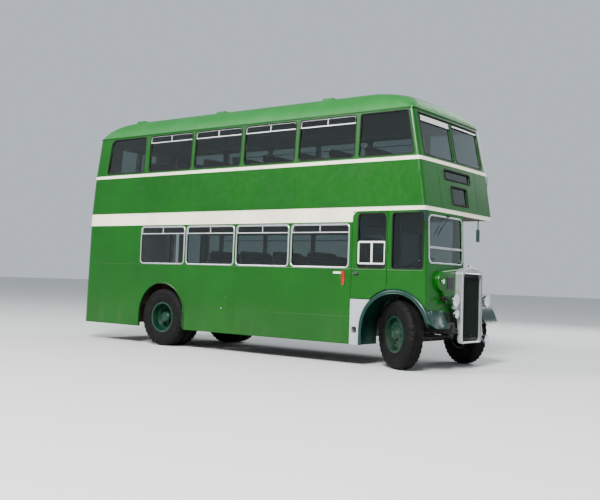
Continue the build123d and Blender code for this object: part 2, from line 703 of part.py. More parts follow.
def scuttle():
    """The bulge under the windscreen, with a rounded offside edge."""
    low, offside_top, nearside_top = SCUTTLE_Z
    edge = -HALF_WIDTH
    corner, turn, foot = (edge + 443, offside_top), (edge + 263, 1330), (edge + 404, 1174)
    face = make_face(
        [
            Line((CAB_INNER_Y, low), (CAB_INNER_Y, nearside_top)),
            Line((CAB_INNER_Y, nearside_top), corner),
            ThreePointArc(corner, turn, foot),
            Line(foot, (edge + 520, low)),
            Line((edge + 520, low), (CAB_INNER_Y, low)),
        ]
    )
    block = prism_x(face, nose_at(UPPER_BASE_Z), RADIATOR_X[0] - FIT)
    front_edges = block.faces().sort_by(Axis.X)[-1].edges().sort_by(Axis.Y)[:-1]
    return fillet(front_edges, SCUTTLE_ROLL)


def cab():
    """The cab's shell with its cowl and floor, then the door, its glass and the cab's own glass."""
    back, outer = BULKHEAD_X + WALL + FIT, -2 * HALF_WIDTH
    form = body_block(CAB_PANEL_Z, CAB_HEAD_Z) & box(back, NOSE_X, outer, CAB_INNER_Y, 0, CANTRAIL_Z)
    room = body_block(CAB_PANEL_Z - 1, CAB_HEAD_Z + 1, WALL)
    room = room & box(BULKHEAD_X, NOSE_X, outer, CAB_INNER_Y - WALL, 0, CANTRAIL_Z)
    cowl = box(back, NOSE_X, COWL_Y, CAB_INNER_Y, CAB_FLOOR_Z - 80, COWL_Z)
    floor = box(back, NOSE_X, outer, COWL_Y + 1, CAB_FLOOR_Z - PANEL, CAB_FLOOR_Z)
    shell = form - room + (cowl & form) + (floor & form) + scuttle()
    shell = shell - box(BULKHEAD_X, NOSE_X, COWL_Y + PANEL, CAB_INNER_Y + 1, 0, COWL_Z - PANEL)
    shell = shell - guard_block(FIT, outer, FIT - GUARD_INNER_Y)
    shell = shell - box(BULKHEAD_X, DOOR_X[1], outer, -INNER_Y, 0, DOOR_Z[1])

    leaf = box(
        DOOR_X[0] + DOOR_GAP,
        DOOR_X[1] - DOOR_GAP,
        -HALF_WIDTH,
        -HALF_WIDTH + DOOR_THICKNESS,
        DOOR_Z[0] + DOOR_GAP,
        DOOR_Z[1] - DOOR_GAP,
    )
    leaf = leaf - guard_block(DOOR_GUARD_GAP, outer, 0)
    window = pane(*DOOR_PANE)
    leaf = leaf - prism_y(window, outer, 0)
    leaf_glass = prism_y(glazing(window), *span(-1, *GLASS_DEPTH))

    for z in DOOR_HINGES_Z:
        place = Plane((DOOR_X[1] - DOOR_GAP / 2, -HALF_WIDTH - BARREL, z), x_dir=(-1, 0, 0), z_dir=(0, 0, 1))
        fixed, moving = hinge(Location(place))
        shell, leaf = shell + fixed, leaf + moving
    for x in BONNET_HINGES_X:
        shell = shell + hinge(bonnet_hinge(x))[0]

    side_window = pane(*CAB_SIDE_PANE, 45)
    screen, near_window = pane(*WINDSCREEN, 80), pane(*CAB_NEAR_PANE, 80)
    shell = shell - prism_y(side_window, outer, -INNER_Y + 1)
    shell = shell - prism_x(screen, FRONT_AXLE, NOSE_X)
    shell = shell - prism_y(near_window, -1, CAB_INNER_Y + 1)
    bar_z = SCREEN_BAR_Z - SCREEN_BAR / 2, SCREEN_BAR_Z + SCREEN_BAR / 2
    bar = body_shell(*bar_z, 8, WALL - 8)
    shell = shell + (bar & box(FRONT_AXLE, NOSE_X, WINDSCREEN[0] - 5, WINDSCREEN[1] + 5, 0, CANTRAIL_Z))

    panes = glazing(screen) - Pos(0, SCREEN_BAR_Z) * Rectangle(4 * HALF_WIDTH, SCREEN_BAR + 2 * FIT)
    screen_glass = body_shell(LOWER_SILL_Z, CAB_HEAD_Z, GLASS_INSET, GLASS_INSET + GLASS)
    glass = [
        prism_y(glazing(side_window), *span(-1, *GLASS_DEPTH)),
        screen_glass & prism_x(panes, FRONT_AXLE, NOSE_X),
        prism_y(glazing(near_window), GLASS_INSET, GLASS_INSET + GLASS),
    ]
    return shell, leaf, leaf_glass, glass


# Radiator: a deep polished shell round a black core with upright slats
RADIATOR_HALF = RAIL_Y - 75
RADIATOR_Z = (405, 1560)
RADIATOR_SHOULDER = 65
CORE_HALF = RADIATOR_HALF - 35
CORE_Z = (427, 1463)
CORE_CORNER = 55
CORE_X = (RADIATOR_X[0] + 2, NOSE_X - 62)
SLATS = 24


def radiator():
    """The shell, cut back at its foot, and the core set into it."""
    x0, x1 = RADIATOR_X
    low, high = RADIATOR_Z
    shoulder = high - RADIATOR_SHOULDER
    face = make_face(
        [
            Line((-RADIATOR_HALF, low), (RADIATOR_HALF, low)),
            Line((RADIATOR_HALF, low), (RADIATOR_HALF, shoulder)),
            ThreePointArc((RADIATOR_HALF, shoulder), (0, high), (-RADIATOR_HALF, shoulder)),
            Line((-RADIATOR_HALF, shoulder), (-RADIATOR_HALF, low)),
        ]
    )
    shell = prism_x(fillet(face.vertices(), 70), x0, x1)
    shell = fillet(shell.faces().sort_by(Axis.X)[-1].edges(), 14)
    shell = shell - prism_x(pane(-CORE_HALF, CORE_HALF, *CORE_Z, CORE_CORNER), x0 - 1, x1 + 1)
    taper = outline([(x0 - 1, low - 1), (x1 - 60, low - 1), (x1 - 60, low + 215), (x0 - 1, low + 555)])
    shell = shell - prism_y(taper, -2 * RADIATOR_HALF, 2 * RADIATOR_HALF)
    neck = Pos((x0 + x1) / 2 + 10, 0, high + 5) * Cylinder(34, 40)
    shell = shell + neck

    core_low, core_high = CORE_Z[0] + FIT, CORE_Z[1] - FIT
    core = prism_x(pane(FIT - CORE_HALF, CORE_HALF - FIT, core_low, core_high, CORE_CORNER), *CORE_X)
    pitch = 2 * CORE_HALF / (SLATS + 1)
    for n in range(SLATS):
        y = -CORE_HALF + (n + 1) * pitch
        core = core + box(CORE_X[1] - 2, CORE_X[1] + 22, y - 4, y + 4, core_low + 60, core_high - 60)
    return shell, core


# Chassis
RAIL_X = (PLATFORM_X + PANEL + FIT, FRONT_AXLE + 565)
SALOON_RUN = BULKHEAD_X - REAR_AXLE
SALOON_MEMBERS = [REAR_AXLE + share * SALOON_RUN for share in (0.155, 0.41, 0.7)]
CROSS_MEMBERS = [RAIL_X[0] + 45, *SALOON_MEMBERS, BULKHEAD_X - 60]
OUTRIGGERS = [REAR_AXLE + share * SALOON_RUN for share in (0.185, 0.46, 0.735, 0.97)]
OUTRIGGER_DEPTH = 70
TOW_EYE_X = FRONT_AXLE + 602
TOW_EYE_Z = RAIL_Z[0] + 42
TOW_EYE_RADIUS = 22
TOW_EYE_HALF = 12
WING_STAY_Z = (RAIL_Z[1] - 26, RAIL_Z[1] - 6)
AXLE_TUBE = 62


def chassis():
    """Two channel rails with cross members, arms out to the body's sides and wings, and towing eyes."""
    frame = None
    for side in (-1, 1):
        rail = box(*RAIL_X, *span(side, RAIL_Y - RAIL_WIDTH / 2, RAIL_Y + RAIL_WIDTH / 2), *RAIL_Z)
        channel = span(side, RAIL_Y - RAIL_WIDTH, RAIL_Y + 20)
        rail = rail - box(RAIL_X[0] - 1, RAIL_X[1] - 15, *channel, RAIL_Z[0] + 12, RAIL_Z[1] - 12)
        frame = rail if frame is None else frame + rail
        for x in OUTRIGGERS:
            arm_y = span(side, RAIL_Y, INNER_Y - FIT)
            arm = box(x - 25, x + 25, *arm_y, RAIL_Z[1] - OUTRIGGER_DEPTH, RAIL_Z[1])
            frame = frame + arm
        stay = box(RAIL_X[1] - 20, NOSE_X, *span(side, RAIL_Y, GUARD_INNER_Y + 60), *WING_STAY_Z)
        stay = stay & guard_block(-GUARD_SHEET - FIT, -HALF_WIDTH, HALF_WIDTH)
        eye_y = span(side, RAIL_Y - TOW_EYE_HALF, RAIL_Y + TOW_EYE_HALF)
        eye = box(RAIL_X[1] - 5, TOW_EYE_X, *eye_y, TOW_EYE_Z - 36, TOW_EYE_Z + 36)
        eye = eye + tube_y(36, *eye_y, TOW_EYE_X, TOW_EYE_Z)
        eye = eye - tube_y(TOW_EYE_RADIUS, *eye_y, TOW_EYE_X, TOW_EYE_Z)
        frame = frame + stay + eye
    for x in CROSS_MEMBERS:
        frame = frame + box(x - 40, x + 40, -RAIL_Y - 22, RAIL_Y + 22, RAIL_Z[0] + 20, RAIL_Z[1] - 20)
    return frame - tube_y(AXLE_TUBE + 30, -2 * RAIL_Y, 2 * RAIL_Y, REAR_AXLE, AXLE_Z)


def fuel_tank():
    """The tank slung under an outrigger on the offside."""
    middle, outer = OUTRIGGERS[1], -HALF_WIDTH
    tank = box(middle - 450, middle + 450, outer + 113, -RAIL_Y - 90, 400, 630)
    strap = box(middle - 25, middle + 25, outer + 243, -RAIL_Y - 170, 600, RAIL_Z[1] - OUTRIGGER_DEPTH - FIT)
    return fillet(tank.edges().filter_by(Axis.X), 70) + strap


# Axles and springs
SPRING_WIDTH = 66
SPRING_THICKNESS = 52
FRONT_SPRING_HALF = 545
REAR_SPRING_HALF = 660
REAR_SPRING_Y = RAIL_Y + 85
KINGPIN_Y = HALF_WIDTH - 283
KINGPIN_RADIUS = 22
EYE_RADIUS = 44
EYE_HALF = 58
BEAM_DROP = 75
FRONT_WHEEL_Y = HALF_WIDTH - 178
REAR_WHEEL_Y = HALF_WIDTH - 148
REAR_SHAFT = 48
REAR_HUB_END = REAR_WHEEL_Y - 10


def leaf_spring(axle_x, y, base_z, half, rise):
    """A bowed stack of leaves with a shackle at each end, up to the rail."""
    top = rise + 14
    leaves = make_face(
        [
            ThreePointArc((axle_x - half, base_z + rise), (axle_x, base_z), (axle_x + half, base_z + rise)),
            Line((axle_x + half, base_z + rise), (axle_x + half, base_z + top)),
            ThreePointArc(
                (axle_x + half, base_z + top),
                (axle_x, base_z + SPRING_THICKNESS),
                (axle_x - half, base_z + top),
            ),
            Line((axle_x - half, base_z + top), (axle_x - half, base_z + rise)),
        ]
    )
    spring = prism_y(leaves, y - SPRING_WIDTH / 2, y + SPRING_WIDTH / 2)
    for side in (-1, 1):
        x = axle_x + side * (half - 24)
        spring = spring + box(x - 24, x + 24, y - 30, y + 30, base_z + rise, RAIL_Z[0] - FIT)
    return spring


def front_axle():
    """A dropped beam with an eye for each kingpin, on two leaf springs."""
    beam_z = AXLE_Z - BEAM_DROP
    bend, shoulder = KINGPIN_Y - 300, KINGPIN_Y - 160
    under = [(KINGPIN_Y, AXLE_Z - 40), (shoulder, AXLE_Z - 48), (bend, beam_z - 45)]
    over = [(bend, beam_z + 35), (shoulder, AXLE_Z + 30), (KINGPIN_Y, AXLE_Z + 30)]
    right_hand = under[::-1] + over[::-1]
    left_hand = [(-y, z) for y, z in over + under]
    beam = prism_x(outline(right_hand + left_hand), FRONT_AXLE - 38, FRONT_AXLE + 38)
    for face in (-1, 1):
        groove_x = sorted((FRONT_AXLE + face * 14, FRONT_AXLE + face * 60))
        beam = beam - box(*groove_x, 20 - bend, bend - 20, beam_z - 28, beam_z + 18)
    reach = (FRONT_AXLE - 60, FRONT_AXLE + 60)
    for side in (-1, 1):
        y = side * KINGPIN_Y
        beam = beam + tube_z(EYE_RADIUS, AXLE_Z - EYE_HALF, AXLE_Z + EYE_HALF, FRONT_AXLE, y)
        beam = beam - box(*reach, *span(side, KINGPIN_Y, KINGPIN_Y + EYE_RADIUS), 0, AXLE_Z - EYE_HALF)
        beam = beam - tube_z(KINGPIN_RADIUS + SHAFT_FIT, 0, 2 * AXLE_Z, FRONT_AXLE, y)
    for side in (-1, 1):
        beam = beam + leaf_spring(FRONT_AXLE, side * RAIL_Y, beam_z + 34, FRONT_SPRING_HALF, 22)
    return beam


GEARBOX_X = (BULKHEAD_X - 390, BULKHEAD_X + 50)
ENGINE_X = (GEARBOX_X[1], nose_at(CAB_FLOOR_Z) - 70)
ENGINE_HALF = RAIL_Y - 145
ENGINE_Z = (540, COWL_Z - 45)


def rear_axle():
    """The driven axle's casing on two leaf springs, with the shaft from the gearbox."""
    casing = Pos(REAR_AXLE, 0, AXLE_Z) * Sphere(175) + tube_x(90, REAR_AXLE + 100, REAR_AXLE + 290, 0, AXLE_Z)
    casing = casing + tube_y(AXLE_TUBE, 375 - REAR_WHEEL_Y, REAR_WHEEL_Y - 375, REAR_AXLE, AXLE_Z)
    casing = casing + tube_y(REAR_SHAFT, -REAR_HUB_END, REAR_HUB_END, REAR_AXLE, AXLE_Z)
    casing = casing + tube_x(45, REAR_AXLE + 280, GEARBOX_X[0] - FIT, 0, AXLE_Z)
    base = AXLE_Z - AXLE_TUBE - SPRING_THICKNESS + 4
    for side in (-1, 1):
        casing = casing + leaf_spring(REAR_AXLE, side * REAR_SPRING_Y, base, REAR_SPRING_HALF, 60)
        hanger_y = span(side, RAIL_Y + RAIL_WIDTH / 2 + FIT, REAR_SPRING_Y + 30)
        for end in (-1, 1):
            x = REAR_AXLE + end * (REAR_SPRING_HALF - 24)
            casing = casing + box(x - 24, x + 24, *hanger_y, 480, 640)
    return casing


def engine():
    """The engine as one block on feet, and the gearbox behind it."""
    block = box(*ENGINE_X, -ENGINE_HALF, ENGINE_HALF, *ENGINE_Z)
    block = fillet(block.edges().filter_by(Axis.X), 45)
    for x in (ENGINE_X[0] + 200, ENGINE_X[1] - 200):
        block = block + box(x - 50, x + 50, -RAIL_Y - 20, RAIL_Y + 20, RAIL_Z[1] + FIT, RAIL_Z[1] + 30)
    gearbox = box(GEARBOX_X[0], GEARBOX_X[1] + 1, -190, 190, 420, RAIL_Z[1] - 30)
    gearbox = fillet(gearbox.edges().filter_by(Axis.X), 60)
    notch = box(CROSS_MEMBERS[-1] - 46, CROSS_MEMBERS[-1] + 46, -200, 200, RAIL_Z[0] + 14, RAIL_Z[1])
    return block + gearbox - notch


# Road wheels: each turned from a section of (radius, distance out from the wheel's middle)
TWIN_SPACING = 286
STUB_RADIUS = 34
TYRE_HALF = 125
RIM_RADIUS = 256
RIM_HALF = 104
STEER_AS_PARKED = -30


def turned(points):
    """A solid turned about Y from (radius, y) points."""
    return revolve(make_face(Polyline(*points, close=True)), Axis.Y)


def front_wheel():
    """A bowled steel wheel with its hub and brake drum, on the nearside, at the middle of the wheel."""
    bore = STUB_RADIUS + SHAFT_FIT
    flange, rim = RIM_RADIUS + 20, RIM_HALF
    return turned(
        [
            (bore, -26),
            (205, -26),
            (205, 8),
            (235, 16),
            (246, -rim),
            (flange, -rim),
            (flange, 10 - rim),
            (RIM_RADIUS, 18 - rim),
            (RIM_RADIUS, rim - 18),
            (flange, rim - 10),
            (flange, rim),
            (246, rim),
            (240, 34),
            (175, 64),
            (120, 66),
            (105, 72),
            (88, 122),
            (0, 128),
            (0, 96),
            (bore, 96),
        ]
    )


def rear_wheels():
    """Twin dished wheels back to back on one hub, on the nearside, at the middle of the outer wheel."""
    bore = REAR_SHAFT + SHAFT_FIT
    flange, rim, middle = RIM_RADIUS + 20, RIM_HALF, -TWIN_SPACING / 2
    outer = turned(
        [
            (60, middle - 0.5),
            (165, middle - 0.5),
            (232, -40),
            (246, -rim),
            (flange, -rim),
            (flange, 10 - rim),
            (RIM_RADIUS, 18 - rim),
            (RIM_RADIUS, rim - 18),
            (flange, rim - 10),
            (flange, rim),
            (246, rim),
            (240, -24),
            (172, middle + 14),
            (60, middle + 14),
        ]
    )
    inner = Pos(0, 2 * middle, 0) * mirror(outer, about=Plane.XZ)
    hub = turned(
        [
            (bore, middle - 130),
            (215, middle - 130),
            (215, middle - 40),
            (130, middle - 20),
            (130, middle + 24),
            (105, middle + 34),
            (98, 22),
            (80, 44),
            (0, 48),
            (0, 0),
            (bore, 0),
        ]
    )
    return outer + inner + hub


def tyre():
    """A tyre with a round-shouldered tread, clear of its rim by a hair."""
    half, seat, crown = TYRE_HALF, RIM_RADIUS + 0.4, TYRE_RADIUS
    bead = RIM_RADIUS + 20.6
    edges = []
    for side in (-1, 1):
        edges += [
            Line((seat, side * (RIM_HALF - 19)), (bead, side * (RIM_HALF - 11))),
            Line((bead, side * (RIM_HALF - 11)), (bead, side * (RIM_HALF - 2))),
            ThreePointArc((bead, side * (RIM_HALF - 2)), (395, side * half), (crown - 22, side * 106)),
            Line((crown - 22, side * 106), (crown, side * 84)),
        ]
    edges += [
        Line((seat, 19 - RIM_HALF), (seat, RIM_HALF - 19)),
        Line((crown, -84), (crown, 84)),
    ]
    return revolve(make_face(edges), Axis.Y)


def place_front(shape, side):
    """A front wheel's piece on its side, turned about the kingpin to the parked steering angle."""
    placed = Pos(FRONT_AXLE, FRONT_WHEEL_Y, AXLE_Z) * shape
    return steered(placed if side > 0 else mirrored(placed), side)


def place_rear(shape, side):
    placed = Pos(REAR_AXLE, REAR_WHEEL_Y, AXLE_Z) * shape
    return placed if side > 0 else mirrored(placed)


def steered(shape, side):
    """A piece turned about its kingpin from straight ahead to the parked steering angle."""
    pivot = Pos(FRONT_AXLE, side * KINGPIN_Y, 0)
    return pivot * Rot(0, 0, STEER_AS_PARKED) * pivot.inverse() * shape


# Steering: a knuckle at each end of the axle, joined by the track rod
ARM_REACH = 170
ARM_Z = AXLE_Z - 85
BALL_RADIUS = 12
ROD_RADIUS = 16
ROD_LOOSE_FIT = 1.5


def knuckle(side):
    """The forked carrier on its kingpin, with the wheel's stub and the arm back to the track rod."""
    x, y = FRONT_AXLE, side * KINGPIN_Y
    shape = tube_z(KINGPIN_RADIUS, AXLE_Z - EYE_HALF - 40, AXLE_Z + EYE_HALF + 40, x, y)
    cheek = span(side, KINGPIN_Y, KINGPIN_Y + 74)
    for end in (-1, 1):
        z0, z1 = sorted((AXLE_Z + end * (EYE_HALF + FIT), AXLE_Z + end * (EYE_HALF + 36)))
        shape = shape + tube_z(40, z0, z1, x, y) + box(x - 38, x + 38, *cheek, z0, z1)
    back = span(side, KINGPIN_Y + 52, KINGPIN_Y + 74)
    shape = shape + box(x - 38, x + 38, *back, AXLE_Z - EYE_HALF - 36, AXLE_Z + EYE_HALF + 36)
    shape = shape + tube_y(STUB_RADIUS, side * (KINGPIN_Y + 70), side * (FRONT_WHEEL_Y + 92), x, AXLE_Z)
    shape = shape + box(x - ARM_REACH, x - 20, y - 18, y + 18, ARM_Z - 8, ARM_Z + 12)
    shape = shape + tube_z(22, ARM_Z - 8, ARM_Z + 12, x - ARM_REACH, y)
    shape = shape + tube_z(BALL_RADIUS, ARM_Z - 52, ARM_Z, x - ARM_REACH, y)
    return steered(shape, side)


def track_rod():
    """The rod between the steering arms, with a running fit on the offside pin and a loose eye on the other."""
    arm = radians(STEER_AS_PARKED)
    x, shift = FRONT_AXLE - ARM_REACH * cos(arm), -ARM_REACH * sin(arm)
    z = ARM_Z - 28
    rod = tube_y(ROD_RADIUS, shift - KINGPIN_Y, shift + KINGPIN_Y, x, z)
    for side in (-1, 1):
        rod = rod + tube_z(24, z - 19, z + 19, x, shift + side * KINGPIN_Y)
    rod = rod - tube_z(BALL_RADIUS + SHAFT_FIT, z - 40, z + 40, x, shift - KINGPIN_Y)
    return rod - tube_z(BALL_RADIUS + ROD_LOOSE_FIT, z - 40, z + 40, x, shift + KINGPIN_Y)


# Cab fittings
COLUMN_TOP = (FRONT_AXLE + 90, -HALF_WIDTH + 443, 1560)
COLUMN_LEAN = 28
COLUMN_LENGTH = 560
STEERING_WHEEL_RADIUS = 245
SPINDLE_RADIUS = 14


def column_frame():
    """The steering column's frame: +Z up along it, from its top."""
    lean = radians(COLUMN_LEAN)
    return Location(Plane(COLUMN_TOP, x_dir=(0, 1, 0), z_dir=(-sin(lean), 0, cos(lean))))


def steering_column():
    """The column up from the wheel arch, a tube that carries the wheel's spindle."""
    tube = Pos(0, 0, -COLUMN_LENGTH / 2 - 60) * Cylinder(26, COLUMN_LENGTH)
    bore = Pos(0, 0, -60) * Cylinder(SPINDLE_RADIUS + SHAFT_FIT, 160)
    return (column_frame() * (tube - bore)) - guard_block(FIT, -HALF_WIDTH, 0)


def steering_wheel():
    """A four-spoked wheel on its spindle."""
    rim = Torus(STEERING_WHEEL_RADIUS, 15)
    hub = Pos(0, 0, -25) * Cylinder(36, 40)
    spokes = Box(2 * STEERING_WHEEL_RADIUS, 18, 10) + Box(18, 2 * STEERING_WHEEL_RADIUS, 10)
    spokes = Pos(0, 0, -10) * (spokes & Cylinder(STEERING_WHEEL_RADIUS + 2, 12))
    spindle = Pos(0, 0, -70) * Cylinder(SPINDLE_RADIUS, 120)
    return column_frame() * (rim + hub + spokes + spindle)


# Seats: each a turned-up section run across, on a pair of legs
SEAT_WIDTH = HALF_WIDTH - 343
SEAT_DEPTH = 430
SEAT_HEIGHT = 430
BACK_HEIGHT = 560
BACK_LEAN = 70
CUSHION = 95


def seat_places(front, rear, pitch):
    """Where the seats' backs stand, row after row toward the rear."""
    return [front - n * pitch for n in range(int((front - rear) / pitch) + 1)]


LOWER_SEATS_X = seat_places(BULKHEAD_X - 840, REAR_AXLE + WHEEL_BOX_HALF + PANEL + 120, 720)
UPPER_SEATS_X = seat_places(nose_at(UPPER_BASE_Z) - 1090, STAIR_X1 + 150, 690)


def seat_section(x, floor_z):
    """A double seat's cushion and back as one side view, facing forward, its back's foot at x."""
    top = floor_z + SEAT_HEIGHT
    return outline(
        [
            (x, top - CUSHION),
            (x + SEAT_DEPTH, top - CUSHION),
            (x + SEAT_DEPTH, top),
            (x + 85, top),
            (x + 65 - BACK_LEAN, top + BACK_HEIGHT),
            (x - 5 - BACK_LEAN, top + BACK_HEIGHT),
        ],
        14,
    )


def seat_rows(places, floor_z, wall_y):
    """Double seats on both sides of the gangway and the frames under them."""
    pads, frames = [], []
    for x in places:
        for side in (-1, 1):
            y0, y1 = span(side, wall_y - SEAT_WIDTH, wall_y)
            pads.append(prism_y(seat_section(x, floor_z), y0, y1))
            under = floor_z + SEAT_HEIGHT - CUSHION - FIT
            frame = box(x + 20, x + SEAT_DEPTH - 20, y0 + 20, y1 - 20, under - 22, under)
            for leg_y in (y0 + 40, y1 - 70):
                for leg_x in (x + 60, x + SEAT_DEPTH - 90):
                    frame = frame + box(leg_x, leg_x + 30, leg_y, leg_y + 30, floor_z + FIT, under)
            frames.append(frame)
    return pads, frames


def driver_seat():
    """The driver's seat and the box under it, over the wheel arch."""
    x, y0, y1 = BULKHEAD_X + 160, -HALF_WIDTH + 183, -HALF_WIDTH + 643
    pad = prism_y(seat_section(x, CAB_FLOOR_Z + 20), y0, y1)
    base_top = CAB_FLOOR_Z + 20 + SEAT_HEIGHT - CUSHION - FIT
    base = box(x + 40, x + SEAT_DEPTH - 30, y0 + 30, y1 - 30, CAB_FLOOR_Z + FIT, base_top)
    return pad, base - guard_block(FIT, -HALF_WIDTH, FIT - GUARD_INNER_Y)


def benches():
    """The long cushions over the rear wheel boxes."""
    pads = []
    for side in (-1, 1):
        y0, y1 = span(side, WHEEL_BOX_Y + 60, INNER_Y - FIT)
        z = WHEEL_BOX_TOP_Z + PANEL + FIT
        pads.append(box(REAR_AXLE - 540, REAR_AXLE + 560, y0, y1, z, z + CUSHION))
    return pads


# Lamps, mirrors and rails
LAMP_X = RADIATOR_X[0] + 5
LAMP_BAR_Z = 930
HEAD_LAMP = (RADIATOR_HALF + 185, 1050, 96, 104)
SIDE_LAMP = (HALF_WIDTH - 334, 1329, 30, 34)
OFFSIDE_FOG = (RADIATOR_HALF + 125, 855, 64, 96)
NEARSIDE_FOG = (RADIATOR_HALF + 195, 455, 70, 104)


def lamp(x, y, z, radius, depth):
    """A bowl lamp with a flat glass, facing forward."""
    bowl = make_face(
        [
            Line((0, 0), (0, depth)),
            Line((0, depth), (radius, depth)),
            Line((radius, depth), (radius, depth - 22)),
            ThreePointArc((radius, depth - 22), (radius * 0.75, depth * 0.3), (radius * 0.25, 0)),
            Line((radius * 0.25, 0), (0, 0)),
        ]
    )
    return Pos(x, y, z) * Rot(0, 0, -90) * revolve(bowl, Axis.Y)


def lamps():
    """Head lamps and fog lamps on their brackets, the offside's side lamp, and the rear lamps."""
    pieces = []
    bar_x = (LAMP_X + 30, LAMP_X + 56)
    for side in (-1, 1):
        y, z, radius, depth = HEAD_LAMP
        head = lamp(LAMP_X, side * y, z, radius, depth)
        stalk = box(*bar_x, *span(side, y - 14, y + 14), LAMP_BAR_Z, z - 40)
        bar = box(*bar_x, *span(side, RADIATOR_HALF + FIT, y + 14), LAMP_BAR_Z, LAMP_BAR_Z + 26)
        if side < 0:
            y, z, radius, depth = OFFSIDE_FOG
            bar = bar + lamp(LAMP_X, side * y, z, radius, depth)
            bar = bar + box(*bar_x, -y - 12, 12 - y, z, LAMP_BAR_Z + 5)
        pieces.append(head + stalk + bar)
    y, z, radius, depth = NEARSIDE_FOG
    fog = lamp(LAMP_X - 5, y, z, radius, depth)
    rail_y = RAIL_Y + RAIL_WIDTH / 2 + FIT
    bracket_x = (LAMP_X - 25, LAMP_X + 20)
    top = RAIL_Z[0] + 66
    fog = fog + box(*bracket_x, rail_y, y, top - 26, top) + box(*bracket_x, y - 13, y + 13, z, top)
    pieces.append(fog)
    y, z, radius, depth = SIDE_LAMP
    pieces.append(lamp(RADIATOR_X[0] + FIT, -y, z, radius, depth))
    pieces += [rear_lamp(side) for side in (-1, 1)]
    return pieces


def mirrors():
    """A driver's mirror on an arm from the cab's corner, and one hung under the nearside of the canopy."""
    arm_z = CAB_GLASS_HEAD_Z + 20
    arm_x, outer = NOSE_X - 292, -HALF_WIDTH
    reach = arm_x + 120
    off = box(reach - 5, reach + 9, outer - 130, outer - 40, arm_z - 150, arm_z + 9)
    arm = tube_y(9, outer - 85, outer - FIT, arm_x, arm_z)
    arm = arm + box(arm_x - 9, reach, outer - 94, outer - 76, arm_z - 9, arm_z + 9)
    near_x, near_y = NOSE_X - 268, HALF_WIDTH - 443
    near = box(near_x - 8, near_x + 8, near_y - 50, near_y + 50, 2000, 2200)
    post = tube_z(9, 2190, CAB_HEAD_Z - FIT, near_x, near_y)
    return [off + arm, near + post]


def hand_rails():
    """The platform's pole, and grab rails by the entrance."""
    pole_y = HALF_WIDTH - 103
    pole = tube_z(16, PLATFORM_Z + FIT, CAB_HEAD_Z - FIT, PLATFORM_X - 60, pole_y)
    grab_x, wall_y = TAIL_X + REAR_SLICE + 40, INNER_Y - FIT
    grab = tube_z(14, 1150, 1900, grab_x, pole_y)
    for z in (1170, 1880):
        grab = grab + box(grab_x - 70, grab_x, pole_y - 10, pole_y + 10, z - 10, z + 10)
        grab = grab + box(grab_x - 70, grab_x - 50, pole_y - 10, wall_y, z - 10, z + 10)
    return [pole, grab]


def vent_frames():
    """Sliding vents at the head of the side windows: a slim frame with a middle bar."""
    frames = []
    slim, bar, depth = 14, 10, 130
    upper = body_shell(UPPER_BASE_Z, CANTRAIL_Z, 6, GLASS_INSET - FIT)
    lower = body_shell(LOWER_SILL_Z, BAND_Z, 6, GLASS_INSET - FIT)
    rows = [(LOWER_BAYS, LOWER_SILL_Z, LOWER_HEAD_Z, lower), (UPPER_BAYS, UPPER_SILL_Z, UPPER_HEAD_Z, upper)]
    for bay_row, sill, head, shell in rows:
        for bay in bay_row:
            window, middle = pane(*bay, sill, head), sum(bay) / 2
            strip = Pos(middle, head - depth / 2) * Rectangle(bay[1] - bay[0], depth)
            face = offset(window, -FIT) & strip
            hole = offset(window, -FIT - slim) & Pos(0, slim) * strip
            upright = Pos(middle, head - depth / 2) * Rectangle(bar, depth - slim)
            sketch = face - hole + upright
            frames += (prism_y(sketch, -2 * HALF_WIDTH, 2 * HALF_WIDTH) & shell).solids()
    return frames


# Every node of the bus
front_wall, rear_wall, offside_upper, nearside_upper, glass, exit_leaf, exit_glass = upper_deck()
offside_lower, offside_glass = lower_side(-1)
nearside_lower, nearside_glass = lower_side(1)
tail_wall, tail_glass = lower_tail()
lower_floor, upper_floor = floors()
flight, stair_guard = staircase()
front_bulkhead, rear_bulkhead, bulkhead_glass = bulkheads()
cab_shell, cab_leaf, cab_leaf_glass, cab_glass = cab()
radiator_shell, radiator_core = radiator()
seat_pad, seat_base = driver_seat()
saloon_wall = INNER_Y - 4
deck_wall = saloon_wall - 30
lower_pads, lower_frames = seat_rows(LOWER_SEATS_X, LOWER_FLOOR_Z, saloon_wall)
upper_pads, upper_frames = seat_rows(UPPER_SEATS_X, UPPER_BASE_Z, deck_wall)

write("chassis_frame", chassis())
write("fuel_tank", fuel_tank())
write("engine", engine())
write("front_axle", front_axle())
write("rear_axle", rear_axle())
write("lower_floor", lower_floor)
write("upper_floor", upper_floor)
write("staircase", flight, stair_guard)
write("offside_lower_wall", offside_lower)
write("nearside_lower_wall", nearside_lower)
write("lower_tail_wall", tail_wall)
write("front_bulkhead", front_bulkhead)
write("rear_bulkhead", rear_bulkhead)
write("middle_band", *middle_band())
write("upper_front_wall", front_wall)
write("upper_tail_wall", rear_wall)
write("offside_upper_wall", offside_upper)
write("nearside_upper_wall", nearside_upper)
write("roof", roof())
write("destination_boxes", *destination_boxes())
write("window_glass", *glass, *offside_glass, *nearside_glass, tail_glass, *bulkhead_glass, *cab_glass)
write("vent_frames", *vent_frames())
write("cab_shell", cab_shell)
write("cab_door", cab_leaf)
write("cab_door_glass", cab_leaf_glass)
write("emergency_door", exit_leaf)
write("emergency_door_glass", *exit_glass)
write("bonnet", bonnet())
write("radiator_shell", radiator_shell)
write("radiator_core", radiator_core)
write("front_mudguards", mudguard(), mirrored(mudguard()))
write("step_panels", step_panel(), mirrored(step_panel()))
write("lamps", *lamps())
write("mirrors", *mirrors())
write("hand_rails", *hand_rails())
write("steering_column", steering_column())
write("steering_wheel", steering_wheel())
write("driver_seat", seat_pad)
write("driver_seat_base", seat_base)
write("lower_seats", *lower_pads, *benches())
write("lower_seat_frames", *lower_frames)
write("upper_seats", *upper_pads)
